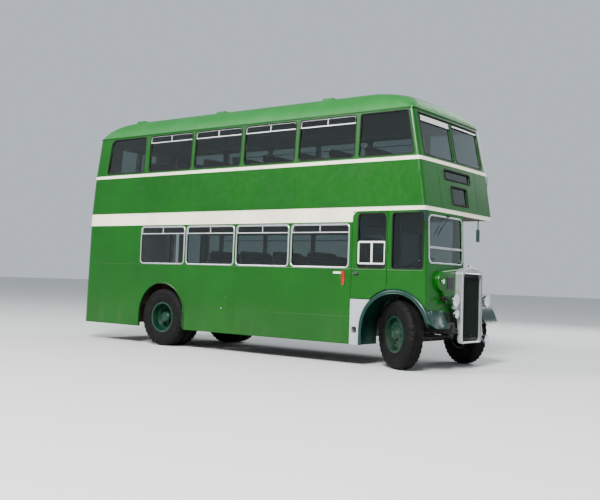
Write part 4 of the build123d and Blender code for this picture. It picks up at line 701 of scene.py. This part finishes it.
def front_vents():
    """Louvres in the offside front window, and a plain strip in the nearside one."""
    piece = Piece()
    near, far = 0.07, 0.945
    for n in range(4):
        z = 3.822 - 0.022 * n
        piece.strip(louvre(z), (-far, z), (-near, z), 0.02, 0.006, steps=6, sink=-0.001)
    piece.strip(on_nose, (near, 3.815), (far, 3.815), 0.03, 0.005, steps=6, sink=-0.001)
    piece.done("front_vents", WHITE)


# Mouldings and bands that run round the body: heights, then each strip's width and height
RAIL_Z, SKIRT_STRIP_Z, LOWER_SEAM_Z = 1.472, 0.352, 0.735
BAND_LOW_Z, BAND_HIGH_Z = 3.127, 3.182
RAIL, CAB_RAIL, SKIRT_STRIP = (0.022, 0.007), (0.02, 0.006), (0.03, 0.004)
SEAM, UPPER_SEAM, NOSE_SEAM = (0.014, 0.0025), (0.013, 0.0025), (0.012, 0.0025)
EMERGENCY_HALF = 0.558
ARCH_RADIUS, ARCH_Z = 0.594, 0.553


def plan(z, out, rear_corner, front_corner=0.055, steps=7):
    """The body's outline at a height, from the nearside nose corner round the tail."""
    half, tail, nose = half_at(z) + out, tail_at(z) - out, nose_at(z) - NOSE_BOW + out
    angles = [pi / 2 * n / steps for n in range(steps + 1)]
    turns = [(1 - cos(a), 1 - sin(a)) for a in angles]
    near = [(nose - front_corner * a, half - front_corner * b) for a, b in turns]
    for n in range(9):
        near.append((nose - front_corner + (tail + rear_corner - nose + front_corner) * (n + 1) / 10, half))
    near += [(tail + rear_corner * b, half - rear_corner * a) for a, b in turns]
    return near + [(x, -y) for x, y in near[::-1]]


def front_arc(z, out, steps=12):
    """The nose between its corners, from offside to nearside."""
    edge = half_at(z) - 0.06
    return [tuple(on_nose(-edge + 2 * edge * n / steps, z, out).xy) for n in range(steps + 1)]


def belt(z0, z1, height, rear_corner=0.155, gap=0.0):
    """A flat band round the body, with an optional gap in the middle of the tail."""
    paths = []
    for z, out in ((z0, -0.002), (z0, height), (z1, height), (z1, -0.002)):
        around = plan(z, out, rear_corner)
        half = len(around) // 2
        path = [*around[half:], *front_arc(z, out)[1:-1], *around[:half]]
        if gap:
            tail = around[half][0]
            path = [(tail, -gap), *path, (tail, gap)]
        paths.append([Vector((x, y, z)) for x, y in path])
    return Piece().sweep(list(zip(*paths)), closed=not gap)


def bands():
    """The slim cream band, the gutter and the deep band's bead."""
    belt(BAND_LOW_Z, BAND_HIGH_Z, 0.0025, gap=EMERGENCY_HALF).done("upper_cream_band", CREAM_PAINT)
    middle, reach = (BAND_LOW_Z + BAND_HIGH_Z) / 2, EMERGENCY_HALF - 0.01
    piece = Piece().strip(on_tail, (-reach, middle), (reach, middle), BAND_HIGH_Z - BAND_LOW_Z, 0.0025)
    piece.done("emergency_door_band", CREAM_PAINT, "emergency_door")
    belt(CANTRAIL_Z - 0.008, CANTRAIL_Z + 0.006, 0.011, 0.19).done("cantrail_gutter", TRIM_GREEN)
    belt(DECK_Z - 0.006, DECK_Z + 0.004, 0.004).done("band_bead", CREAM_PAINT)


def mouldings():
    """Rails, seams and cover strips in the panels' green."""
    piece = Piece()
    end, wheel = BULKHEAD - 0.003, 0.66
    lower, upper = (0.37, 1.46), (DECK_Z + 0.01, BAND_LOW_Z - 0.002)
    for side, _ in SIDES:
        start = TAIL + 0.17 if side < 0 else PLATFORM_X + 0.01
        surface = on_side(side)
        piece.strip(surface, (start, RAIL_Z), (end, RAIL_Z), *RAIL)
        piece.strip(surface, (start, SKIRT_STRIP_Z), (REAR_AXLE - wheel, SKIRT_STRIP_Z), *SKIRT_STRIP)
        piece.strip(surface, (REAR_AXLE + wheel, SKIRT_STRIP_Z), (end, SKIRT_STRIP_Z), *SKIRT_STRIP)
        piece.strip(surface, (REAR_AXLE + 0.605, LOWER_SEAM_Z), (end, LOWER_SEAM_Z), *SEAM)
        for x in LOWER_PILLARS:
            piece.strip(surface, (x, lower[0]), (x, lower[1]), *SEAM)
        for x in [*UPPER_PILLARS, TAIL + 0.245, NOSE - 0.335]:
            piece.strip(surface, (x, upper[0]), (x, upper[1]), *UPPER_SEAM)
    piece.strip(on_side(-1), (FRONT_AXLE - 0.195, RAIL_Z), (NOSE - 0.25, RAIL_Z), *CAB_RAIL)
    for y in (-0.62, 0.62):
        piece.strip(on_nose, (y, upper[0]), (y, upper[1]), *NOSE_SEAM)
    piece.strip(on_tail, (-HALF + 0.16, RAIL_Z), (HALF - 0.16, RAIL_Z), *RAIL)
    for y in (-0.38, 0.38):
        piece.strip(on_tail, (y, 0.36), (y, lower[1]), *SEAM)
    piece.done("body_mouldings", TRIM_GREEN)
    piece = Piece().strip(on_side(-1), (BULKHEAD + 0.012, RAIL_Z), (FRONT_AXLE - 0.215, RAIL_Z), *CAB_RAIL)
    piece.done("door_moulding", TRIM_GREEN, "cab_door")


def arch_beads():
    """Beads round the rear wheel arches, and the dark gutter over the front windows."""
    angles = [pi * n / 40 for n in range(41)]
    arch = [(REAR_AXLE + ARCH_RADIUS * cos(a), ARCH_Z + ARCH_RADIUS * sin(a)) for a in angles]
    foot = 0.33
    path = [(REAR_AXLE + ARCH_RADIUS, foot), *arch, (REAR_AXLE - ARCH_RADIUS, foot)]
    piece = Piece()
    for side, _ in SIDES:
        piece.tube([Vector((x, side * (HALF + 0.002), z)) for x, z in path], 0.009)
    piece.done("rear_arch_beads", TRIM_GREEN)
    piece = Piece().strip(on_nose, (-0.99, 3.866), (0.99, 3.866), 0.018, 0.022, steps=14)
    piece.done("front_gutter", GLOSS_BLACK)


# Front mudguards' rolled edges
def bend_to(start, way, end, steps=10):
    """Points of the arc that leaves start along a direction and reaches end."""
    chord = Vector(end) - Vector(start)
    normal = Vector((-way[1], way[0]))
    radius = chord.length_squared / (2 * normal.dot(chord))
    centre = Vector(start) + normal * radius
    first, last = Vector(start) - centre, Vector(end) - centre
    turn = first.angle_signed(last)
    return [centre + Matrix.Rotation(-turn * n / steps, 2) @ first for n in range(1, steps + 1)]


def guard_edges():
    cx, cz, radius = FRONT_AXLE - 0.052, 0.563, 0.633
    end = radians(52)
    rise = [Vector((cx - radius, z)) for z in (0.33, 0.45)]
    angles = [pi + (end - pi) * n / 28 for n in range(29)]
    arc = [Vector((cx + radius * cos(a), cz + radius * sin(a))) for a in angles]
    waist = bend_to(arc[-1], (sin(end), -cos(end)), (FRONT_AXLE + 0.53, 0.79))
    way = (waist[-1] - waist[-2]).normalized()
    line = rise + arc + waist + bend_to(waist[-1], way, (NOSE - 0.006, 0.645), 8)
    inner = []
    for n, point in enumerate(line):
        ahead = (line[min(n + 1, len(line) - 1)] - line[max(n - 1, 0)]).normalized()
        shifted = point + Vector((ahead.y, -ahead.x)) * 0.066
        if shifted.y > 0.652 or n < len(line) // 2:
            inner.append(shifted)
    piece = Piece()
    for side, _ in SIDES:
        piece.tube([Vector((p.x, side * (HALF + 0.021), p.y)) for p in inner], 0.007)
    piece.done("mudguard_beads", MATERIALS["dark_green"])


# Small fittings on the sides, the cab and the front
def door_handle():
    x, z = BULKHEAD + 0.094, 1.41
    knob = [(0, -0.002), (0.036, -0.002), (0.036, 0.006), (0.028, 0.01), (0.012, 0.011)]
    knob += [(0.012, 0.03), (0, 0.031)]
    piece = Piece().turned(facing((x, -HALF, z), "offside"), knob)
    piece.tube([Vector((x - 0.045, -HALF - 0.028, z)), Vector((x + 0.045, -HALF - 0.028, z + 0.004))], 0.008)
    piece.done("door_handle", GLOSS_BLACK, "cab_door")


def direction_arm():
    """The red direction arm behind the cab door, and a blank plate beside it."""
    x = BULKHEAD - 0.146
    corners = ((-0.02, 1.22), (0.02, 1.22), (0.034, 1.33), (0.02, 1.45), (-0.02, 1.45), (-0.034, 1.33))
    lozenge = [(x + dx, z) for dx, z in corners]
    Piece().plate(on_side(-1), rounded(lozenge, 0.012, 3), 0.026).done("direction_arm", RED_LENS)
    plate = window(x - 0.19, x - 0.05, 1.40, 1.432, 0.006)
    Piece().plate(on_side(-1), plate, 0.003).done("blank_side_plate", CREAM_PAINT)


def filler_flap():
    """The fuel filler's flap with its two hinges and its catch."""
    x, hinge_z = -0.228, 0.952
    piece = Piece().plate(on_side(-1), window(x - 0.15, x + 0.15, 0.72, 0.95, 0.02), 0.004)
    for hinge_x in (x - 0.09, x + 0.09):
        piece.tube([Vector((hinge_x + reach, -HALF - 0.006, hinge_z)) for reach in (-0.025, 0.025)], 0.006)
    piece.done("filler_flap", TRIM_GREEN)
    catch = Piece().box((x - 0.012, -HALF - 0.016, 0.742), (x + 0.012, -HALF - 0.003, 0.76))
    catch.done("flap_catch", CHROME)


def body_vents():
    piece = Piece()
    for x, z in ((BULKHEAD - 0.62, 0.58), (REAR_AXLE + 1.1, 0.58), (REAR_AXLE - 1.2, 0.9)):
        piece.plate(on_side(-1), window(x - 0.045, x + 0.045, z - 0.03, z + 0.03, 0.01), 0.005)
    piece.done("body_vents", TRIM_GREEN)


def front_fittings():
    """A blank plate, the horn, the radiator's cap and bead, and the starting handle's guide."""
    plate = window(-0.631, -0.435, 1.216, 1.40, 0.012)
    Piece().plate(flat_x(RADIATOR_BACK), plate, 0.006).done("blank_front_plate", GLOSS_BLACK)
    horn_z = 1.08
    horn = [(0, -0.01), (0.03, -0.01), (0.04, 0.02), (0.04, 0.045), (0.018, 0.055)]
    horn += [(0.02, 0.075), (0.042, 0.105), (0.039, 0.106), (0.012, 0.085), (0, 0.08)]
    place = facing((nose_at(horn_z), -0.70, horn_z), "forward")
    Piece().turned(place, horn, 28).done("horn", GLOSS_BLACK)
    cap = [(0, -0.004), (0.04, -0.004), (0.042, 0.004), (0.038, 0.012), (0.022, 0.016), (0, 0.018)]
    place = facing((RADIATOR_BACK + 0.067, 0, 1.583), "up")
    Piece().turned(place, cap, 28).done("radiator_cap", CHROME)
    mouth = window(-0.32, 0.32, 0.427, 1.463, 0.055)
    framed("radiator_bead", flat_x(NOSE - 0.002), [mouth], MOUTH_BEAD, CHROME)
    guide = [(0.028, 0), (0.03, 0.02), (0.022, 0.026), (0.014, 0.02), (0.014, 0)]
    place = facing((NOSE - 0.045, 0, 0.50), "forward")
    Piece().turned(place, guide, 24).done("handle_guide", GLOSS_BLACK)


# Each front lamp: y, z, radius, and how far its glass is behind the nose
LAMPS = {
    "head_lamp_offside": (-0.54, 1.05, 0.096, 0.005),
    "head_lamp_nearside": (0.54, 1.05, 0.096, 0.005),
    "fog_lamp_offside": (-0.48, 0.855, 0.064, 0.013),
    "fog_lamp_nearside": (0.55, 0.455, 0.07, 0.010),
    "side_lamp": (-0.809, 1.329, 0.03, 0.0797),
}


def lamp_glasses():
    rims, glasses = Piece(), Piece()
    for y, z, r, back in LAMPS.values():
        place = facing((NOSE - back, y, z), "forward")
        rim = [(r * 0.9, 0.001), (r * 0.9, 0.007), (r * 0.96, 0.009), (r + 0.004, 0.004)]
        rim += [(r + 0.004, -0.012), (r - 0.002, -0.016), (r - 0.002, -0.004)]
        glass = [(0, 0.0), (r * 0.92, 0.0), (r * 0.92, 0.003), (r * 0.7, 0.008), (r * 0.4, 0.011), (0, 0.012)]
        rims.turned(place, rim, 40)
        glasses.turned(place, glass, 40)
    rims.done("lamp_rims", CHROME)
    glasses.done("lamp_glasses", CLEAR_LENS)
    piece = Piece()
    z = 0.76
    glass = [(0, -0.001), (0.035, -0.001), (0.034, 0.006), (0.02, 0.012), (0, 0.013)]
    for side, _ in SIDES:
        piece.turned(facing((tail_at(z) - 0.005, side * (HALF - 0.203), z), "backward"), glass, 28)
    piece.done("rear_lamp_glasses", RED_LENS)


def tail_fittings():
    panes = [window(y - 0.215, y + 0.215, UPPER_SILL_Z, 3.821, END_RADIUS) for y in (-0.27, 0.27)]
    framed("emergency_door_gaskets", on_tail, panes, END_GASKET, body="emergency_door")
    bar = [on_tail(y, 3.02, out) for y, out in ((-0.11, 0.0), (-0.10, 0.03), (0.10, 0.03), (0.11, 0.0))]
    Piece().tube(bar, 0.008).done("emergency_door_handle", CHROME, "emergency_door")
    Piece().plate(on_tail, window(-0.26, 0.26, 2.52, 2.70, 0.02), 0.012).done("blank_rear_plate", GLOSS_BLACK)
    opening = window(-EMERGENCY_HALF - 0.002, EMERGENCY_HALF + 0.002, 2.88, 3.881)
    framed("emergency_door_surround", on_tail, [opening], DOOR_SURROUND, TRIM_GREEN)


def bonnet_fittings():
    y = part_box("bonnet")[1][1] - 0.014
    catch = [(0, -0.001), (0.022, -0.001), (0.022, 0.004), (0.009, 0.006), (0.009, 0.014), (0, 0.015)]
    piece = Piece()
    for x in (BULKHEAD + 0.16, RADIATOR_BACK - 0.12):
        piece.turned(Matrix.Translation((x, y, 1.07)), catch, 20)
        piece.box((x - 0.006, y + 0.008, 1.01), (x + 0.006, y + 0.014, 1.08))
    piece.done("bonnet_catches", CHROME, "bonnet")


def platform_fittings():
    piece = Piece()
    for n in range(9):
        y = 1.06 - 0.045 * n
        piece.strip(flat_z(PLATFORM_Z), (TAIL + 0.24, y), (PLATFORM_X - 0.02, y), 0.026, 0.004)
    piece.done("platform_treads", metal("tread_alloy", (0.4, 0.4, 0.39), 0.45))
    edge = Piece().box((TAIL + 0.21, HALF - 0.002, 0.37), (PLATFORM_X - 0.01, HALF + 0.004, 0.404))
    edge.done("platform_edge", WHITE)


def stair_nosings(steps=9):
    """Metal edges on the treads of the straight flight along the offside."""
    foot = TAIL + 0.26
    rise, run = (DECK_Z - PLATFORM_Z) / steps, (REAR_AXLE - 0.683 - foot) / steps
    piece = Piece()
    for n in range(1, steps):
        x, z = foot + n * run - run / 2, PLATFORM_Z + n * rise
        piece.box((x - 0.003, -1.05, z - 0.03), (x, -0.52, z + 0.003))
        piece.box((x - 0.003, -1.05, z), (x + 0.035, -0.52, z + 0.003))
    piece.done("stair_nosings", metal("nosing_alloy", (0.5, 0.5, 0.48), 0.4))


# Wheels: nuts, hub caps and tyres with a cut tread
def wheel_place(joint, side, shift=0.0):
    """A frame at a wheel's middle whose +Y points outward along its axle."""
    facts = JOINTS[joint]
    out = Vector(facts["axis"]).normalized() * side
    up = Vector((0, 0, 1))
    turn = Matrix((out.cross(up), out, up)).transposed().to_4x4()
    return Matrix.Translation(Vector(facts["pos_m"]) + out * shift) @ turn


def nuts(piece, place, ring, y, count, radius, height):
    """A ring of six-sided nuts on their studs."""
    shoulder, top = height * 0.7, height * 0.8
    nut = [(0, -0.001), (radius, -0.001), (radius, shoulder), (radius * 0.75, top), (0, top)]
    stud = [(0, shoulder), (0.006, shoulder), (0.006, height * 1.2), (0, height * 1.25)]
    for n in range(count):
        angle = 2 * pi * n / count
        spot = place @ Matrix.Translation((ring * cos(angle), y, ring * sin(angle)))
        piece.turned(spot, nut, 6)
        piece.turned(spot, stud, 8)


def wheel_details():
    for side, name in SIDES:
        for end, body, rings in (("front", "front_wheel", FRONT_NUTS), ("rear", "rear_wheels", REAR_NUTS)):
            place, piece = wheel_place(f"{end}_spin_{name}", side), Piece()
            for ring in rings:
                nuts(piece, place, *ring)
            if end == "front":
                piece.turned(place, HUB_CAP, 6)
            piece.done(f"{end}_wheel_nuts_{name}", MATERIALS["wheel_green"], f"{body}_{name}")


# Rings of nuts: radius of the ring, place along the axle, count, and a nut's radius and height
FRONT_NUTS = ((0.148, 0.065, 10, 0.015, 0.02), (0.07, 0.1235, 8, 0.007, 0.01))
REAR_NUTS = ((0.142, -0.129, 10, 0.015, 0.02), (0.068, 0.0445, 10, 0.008, 0.012))
HUB_CAP = [(0.052, 0.126), (0.055, 0.135), (0.045, 0.142), (0.02, 0.145), (0, 0.146)]
TREAD_STEPS = 144
TWIN_SPACING = 0.286
CROWN_RADIUS, GROOVE_RADIUS, GROOVE_SLOPE = 0.518, 0.5045, 0.002
# One side of a tyre from its bead out, as radius and distance from the middle
SIDEWALL = [(0.2568, 0.085), (0.2766, 0.0935), (0.2772, 0.102), (0.292, 0.1085), (0.296, 0.1125)]
SIDEWALL += [(0.302, 0.1125), (0.307, 0.1145), (0.335, 0.1195), (0.375, 0.1245), (0.41, 0.1245)]
SIDEWALL += [(0.436, 0.1235), (0.44, 0.1252), (0.446, 0.1242)]
SHOULDER = [(0.468, 0.117), (0.486, 0.111), (0.5, 0.1035), (0.5115, 0.0955), (0.5165, 0.086)]
# Each groove's way round, and its outer and inner edge
GROOVES = (("zig", 0.0645, 0.0525), ("zag", 0.0255, 0.0135))


def tyre_section():
    """Radius, distance from the middle, and what the tread does there."""
    half = [(r, w, "") for r, w in SIDEWALL] + [(r, w, "lug") for r, w in SHOULDER]
    for kind, outer, inner in GROOVES:
        half += [(CROWN_RADIUS, outer, kind), (GROOVE_RADIUS, outer - GROOVE_SLOPE, kind)]
        half += [(GROOVE_RADIUS, inner + GROOVE_SLOPE, kind), (CROWN_RADIUS, inner, kind)]
    return half + [(CROWN_RADIUS, 0.0, "")] + [(r, -w, kind) for r, w, kind in half[::-1]]


def tyre(piece, place):
    """A road tyre with zigzag grooves and notched shoulders."""
    rings = []
    for n in range(TREAD_STEPS):
        angle = 2 * pi * n / TREAD_STEPS
        saw = (1 if n % 6 < 3 else -1) * 0.0035
        ring = []
        for radius, width, kind in tyre_section():
            if kind == "lug" and n % 4 < 2:
                radius -= 0.014 if radius > 0.48 else 0.006
            if kind in ("zig", "zag"):
                width += saw if kind == "zig" else -saw
            ring.append(place @ Vector((radius * cos(angle), width, radius * sin(angle))))
        rings.append(ring)
    return piece.sweep(rings, closed=True)


def tyres():
    for side, name in SIDES:
        front = tyre(Piece(), wheel_place(f"front_spin_{name}", side))
        made = front.done(f"front_road_tyre_{name}", MATERIALS["tyre"], f"front_wheel_{name}", "tyre")
        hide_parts(f"front_tyre_{name}")
        rear = Piece()
        for shift in (0.0, -TWIN_SPACING):
            tyre(rear, wheel_place(f"rear_spin_{name}", side, shift))
        made = rear.done(f"rear_road_tyres_{name}", MATERIALS["tyre"], f"rear_wheels_{name}", "tyre")
        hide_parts(f"rear_tyres_{name}")


# Seats: crowned cushions and backs with piped edges, one pair for each solid seat
CORNER_STEPS = 4
SEAT_CORNER = 0.035
# Thickness and crown
CUSHION, BACK = (0.083, 0.012), (0.062, 0.008)
BACK_HEIGHT, BACK_LEAN = 0.59, atan2(0.07, 0.56)


def solids_of(node):
    """The lowest and highest corner of each separate solid in a node."""
    mesh = bmesh.new()
    mesh.from_mesh(NODES[node].data)
    bmesh.ops.remove_doubles(mesh, verts=mesh.verts, dist=1e-5)
    left, boxes = set(mesh.verts), []
    while left:
        ahead, found = [left.pop()], []
        while ahead:
            vertex = ahead.pop()
            found.append(vertex.co.copy())
            near = {edge.other_vert(vertex) for edge in vertex.link_edges} & left
            left -= near
            ahead += near
        low, high = (Vector([end(p[i] for p in found) for i in range(3)]) for end in (min, max))
        boxes.append((low, high))
    mesh.free()
    return sorted(boxes, key=lambda box: (round(box[0].y, 2), box[0].x))


def pillow(place, depth, width, thickness, crown, pull=0.006):
    """A stuffed block: crowned, with sides drawn in between its corners."""
    levels = [(0.012, 0.0), (0.002, 0.012), (0.0, 0.3 * thickness), (0.0, 0.7 * thickness)]
    levels += [(0.004, thickness - 0.014), (0.012, thickness - 0.006), (0.028, thickness)]
    levels += [(0.07, thickness + 0.5 * crown), (0.14, thickness + crown)]
    rings = []
    for narrower, height in levels:
        a, b = depth / 2 - narrower, width / 2 - narrower
        outline = window(-a, a, -b, b, max(0.012, SEAT_CORNER - 0.5 * narrower), CORNER_STEPS)
        ring = []
        for n, ((u, v), _) in enumerate(outline):
            (u1, v1), _ = outline[(n + 1) % len(outline)]
            parts = 8 if n % (CORNER_STEPS + 1) == CORNER_STEPS else 1
            for share in (k / parts for k in range(parts)):
                bow = pull * 4 * share * (1 - share) * sin(pi * min(1, height / thickness))
                pu, pv = u + (u1 - u) * share, v + (v1 - v) * share
                length = hypot(pu, pv)
                ring.append(place @ Vector((pu - bow * pu / length, pv - bow * pv / length, height)))
        rings.append(ring)
    return Piece().sweep(rings)


def piping(piece, place, depth, width, thickness):
    """The sewn cord round a cushion's upper edge."""
    a, b = depth / 2 - 0.004, width / 2 - 0.004
    outline = window(-a, a, -b, b, SEAT_CORNER, CORNER_STEPS)
    points = [place @ Vector((u, v, thickness - 0.012)) for (u, v), _ in outline]
    return piece.tube(points + [points[0]], 0.0045, 6)


def seats():
    """Puts cushions and backs where each node's solids are."""
    up = Vector((-sin(BACK_LEAN), 0, cos(BACK_LEAN)))
    out = Vector((cos(BACK_LEAN), 0, sin(BACK_LEAN)))
    turn = Matrix((up, up.cross(out), out)).transposed().to_4x4()
    for node, name in (("lower_seats", "lower"), ("upper_seats", "upper"), ("driver_seat", "driver")):
        forms, rails = [], Piece()
        for n, (low, high) in enumerate(solids_of(node)):
            width, middle = high.y - low.y - 0.012, (low.y + high.y) / 2
            if high.z - low.z < 0.2:
                place = Matrix.Translation(((low.x + high.x) / 2, middle, low.z))
                forms.append((f"bench_{n}", place, high.x - low.x - 0.012, width, *CUSHION))
                continue
            foot = low.x + 0.075
            place = Matrix.Translation(((foot + 0.075 + high.x) / 2, middle, low.z + 0.001))
            forms.append((f"cushion_{n}", place, high.x - foot - 0.075, width, *CUSHION))
            origin = Vector((foot - 0.004, middle, low.z + 0.04)) + up * BACK_HEIGHT / 2
            forms.append((f"back_{n}", Matrix.Translation(origin) @ turn, BACK_HEIGHT, width, *BACK))
            top, reach = origin + up * 0.305, width * 0.42
            corners = ((-reach, -0.05), (-reach, 0), (reach, 0), (reach, -0.05))
            rails.tube([Vector((top.x, middle + y, top.z + z)) for y, z in corners], 0.011)
        trims, cushions = Piece(), []
        for title, *form in forms:
            cushion = pillow(*form).done(f"{name}_{title}", MATERIALS["seat_cloth"], "body", "seat_cloth")
            cushions.append(cushion)
            piping(trims, *form[:-1])
        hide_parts(node)
        trims.done(f"{name}_seat_piping", LEATHERCLOTH)
        if node == "driver_seat":
            rails.mesh.free()
        else:
            rails.done(f"{name}_seat_rails", CHROME)


# Springs: place along the bus, distance from its middle, height, half length, and rise at the ends
SPRINGS = ((FRONT_AXLE, 0.43, 0.477, 0.545, 0.022), (REAR_AXLE, 0.515, 0.408, 0.66, 0.06))
LEAVES, LEAF_THICKNESS = 5, 0.0095


def spring_details():
    """The edges of the leaves, and the bolts that clamp each spring to its axle."""
    piece = Piece()
    for axle, y0, base, half, rise in SPRINGS:
        for side, _ in SIDES:
            for level in range(1, LEAVES):
                reach = half * (1 - 0.13 * (4 - level)) - 0.06
                points = []
                for n in range(13):
                    x = -reach + 2 * reach * n / 12
                    z = base + rise * (x / half) ** 2 + LEAF_THICKNESS * level
                    points.append(Vector((axle + x, side * y0, z)))
                for face in (-1, 1):
                    piece.tube([p + Vector((0, face * 0.0335, 0)) for p in points], 0.0016, 4)
            for x in (axle - 0.055, axle + 0.055):
                for y in (side * y0 - 0.04, side * y0 + 0.04):
                    piece.tube([Vector((x, y, base + rise_by)) for rise_by in (-0.03, 0.085)], 0.008)
    piece.done("spring_clamps", MATERIALS["chassis_black"])


# Stage: floor, lights and camera
def floor():
    bpy.ops.mesh.primitive_plane_add(size=300, location=(0, 0, cad_low[2] - 0.001))
    plane = bpy.context.object
    plane.name = "studio_floor"
    s = Shader("floor_paint")
    s.set(Base_Color=(0.62, 0.62, 0.6, 1), Roughness=0.85)
    plane.data.materials.append(s.material)


def area_light(name, place, target, size, power):
    light = bpy.data.lights.new(name, "AREA")
    light.energy, light.size = power, size
    lamp = bpy.data.objects.new(name, light)
    lamp.location = place
    lamp.rotation_euler = (Vector(target) - Vector(place)).to_track_quat("-Z", "Y").to_euler()
    bpy.context.scene.collection.objects.link(lamp)


def sky():
    world = bpy.data.worlds.new("studio")
    bpy.context.scene.world = world
    world.use_nodes = True
    background = world.node_tree.nodes["Background"]
    background.inputs["Color"].default_value = (0.78, 0.86, 0.95, 1)
    background.inputs["Strength"].default_value = 0.75


# The viewpoint, fitted to the photograph: angles in radians, and the lens in the frame's pixels
CAMERA_PLACE = Vector((FRONT_AXLE + 6.5118, -12.1531, 1.2589))
CAMERA_YAW, CAMERA_PITCH, CAMERA_ROLL = 2.2212, 0.0657, 0.0355
FOCAL_PIXELS = 855.57
FRAME_WIDTH = 600
CENTRE_RISE = 25
SENSOR = 36


def camera():
    """The photograph's viewpoint; its picture centre lies a little above the frame's."""
    data = bpy.data.cameras.new("camera")
    data.sensor_width = SENSOR
    data.lens = FOCAL_PIXELS / FRAME_WIDTH * SENSOR
    data.shift_y = -CENTRE_RISE / FRAME_WIDTH
    data.clip_end = 500
    holder = bpy.data.objects.new("camera", data)
    yaw = Matrix.Rotation(CAMERA_YAW - pi / 2, 4, "Z")
    pitch = Matrix.Rotation(CAMERA_PITCH + pi / 2, 4, "X")
    roll = Matrix.Rotation(CAMERA_ROLL, 4, "Z")
    holder.matrix_world = Matrix.Translation(CAMERA_PLACE) @ yaw @ pitch @ roll
    bpy.context.scene.collection.objects.link(holder)
    bpy.context.scene.camera = holder


upper_windows()
lower_windows()
cab_windows()
door_pane()
windscreen()
blinds()
front_vents()
bands()
mouldings()
arch_beads()
guard_edges()
door_handle()
direction_arm()
filler_flap()
body_vents()
front_fittings()
lamp_glasses()
tail_fittings()
bonnet_fittings()
platform_fittings()
stair_nosings()
wheel_details()
tyres()
seats()
spring_details()

floor()
sky()
area_light("key", (9, -17, 15), (0, 0, 2), 6, 10500)
area_light("side", (-14, -20, 17), (0, 0, 2), 7, 6000)
area_light("back", (2, 15, 10), (0, 0, 3), 8, 1600)
camera()
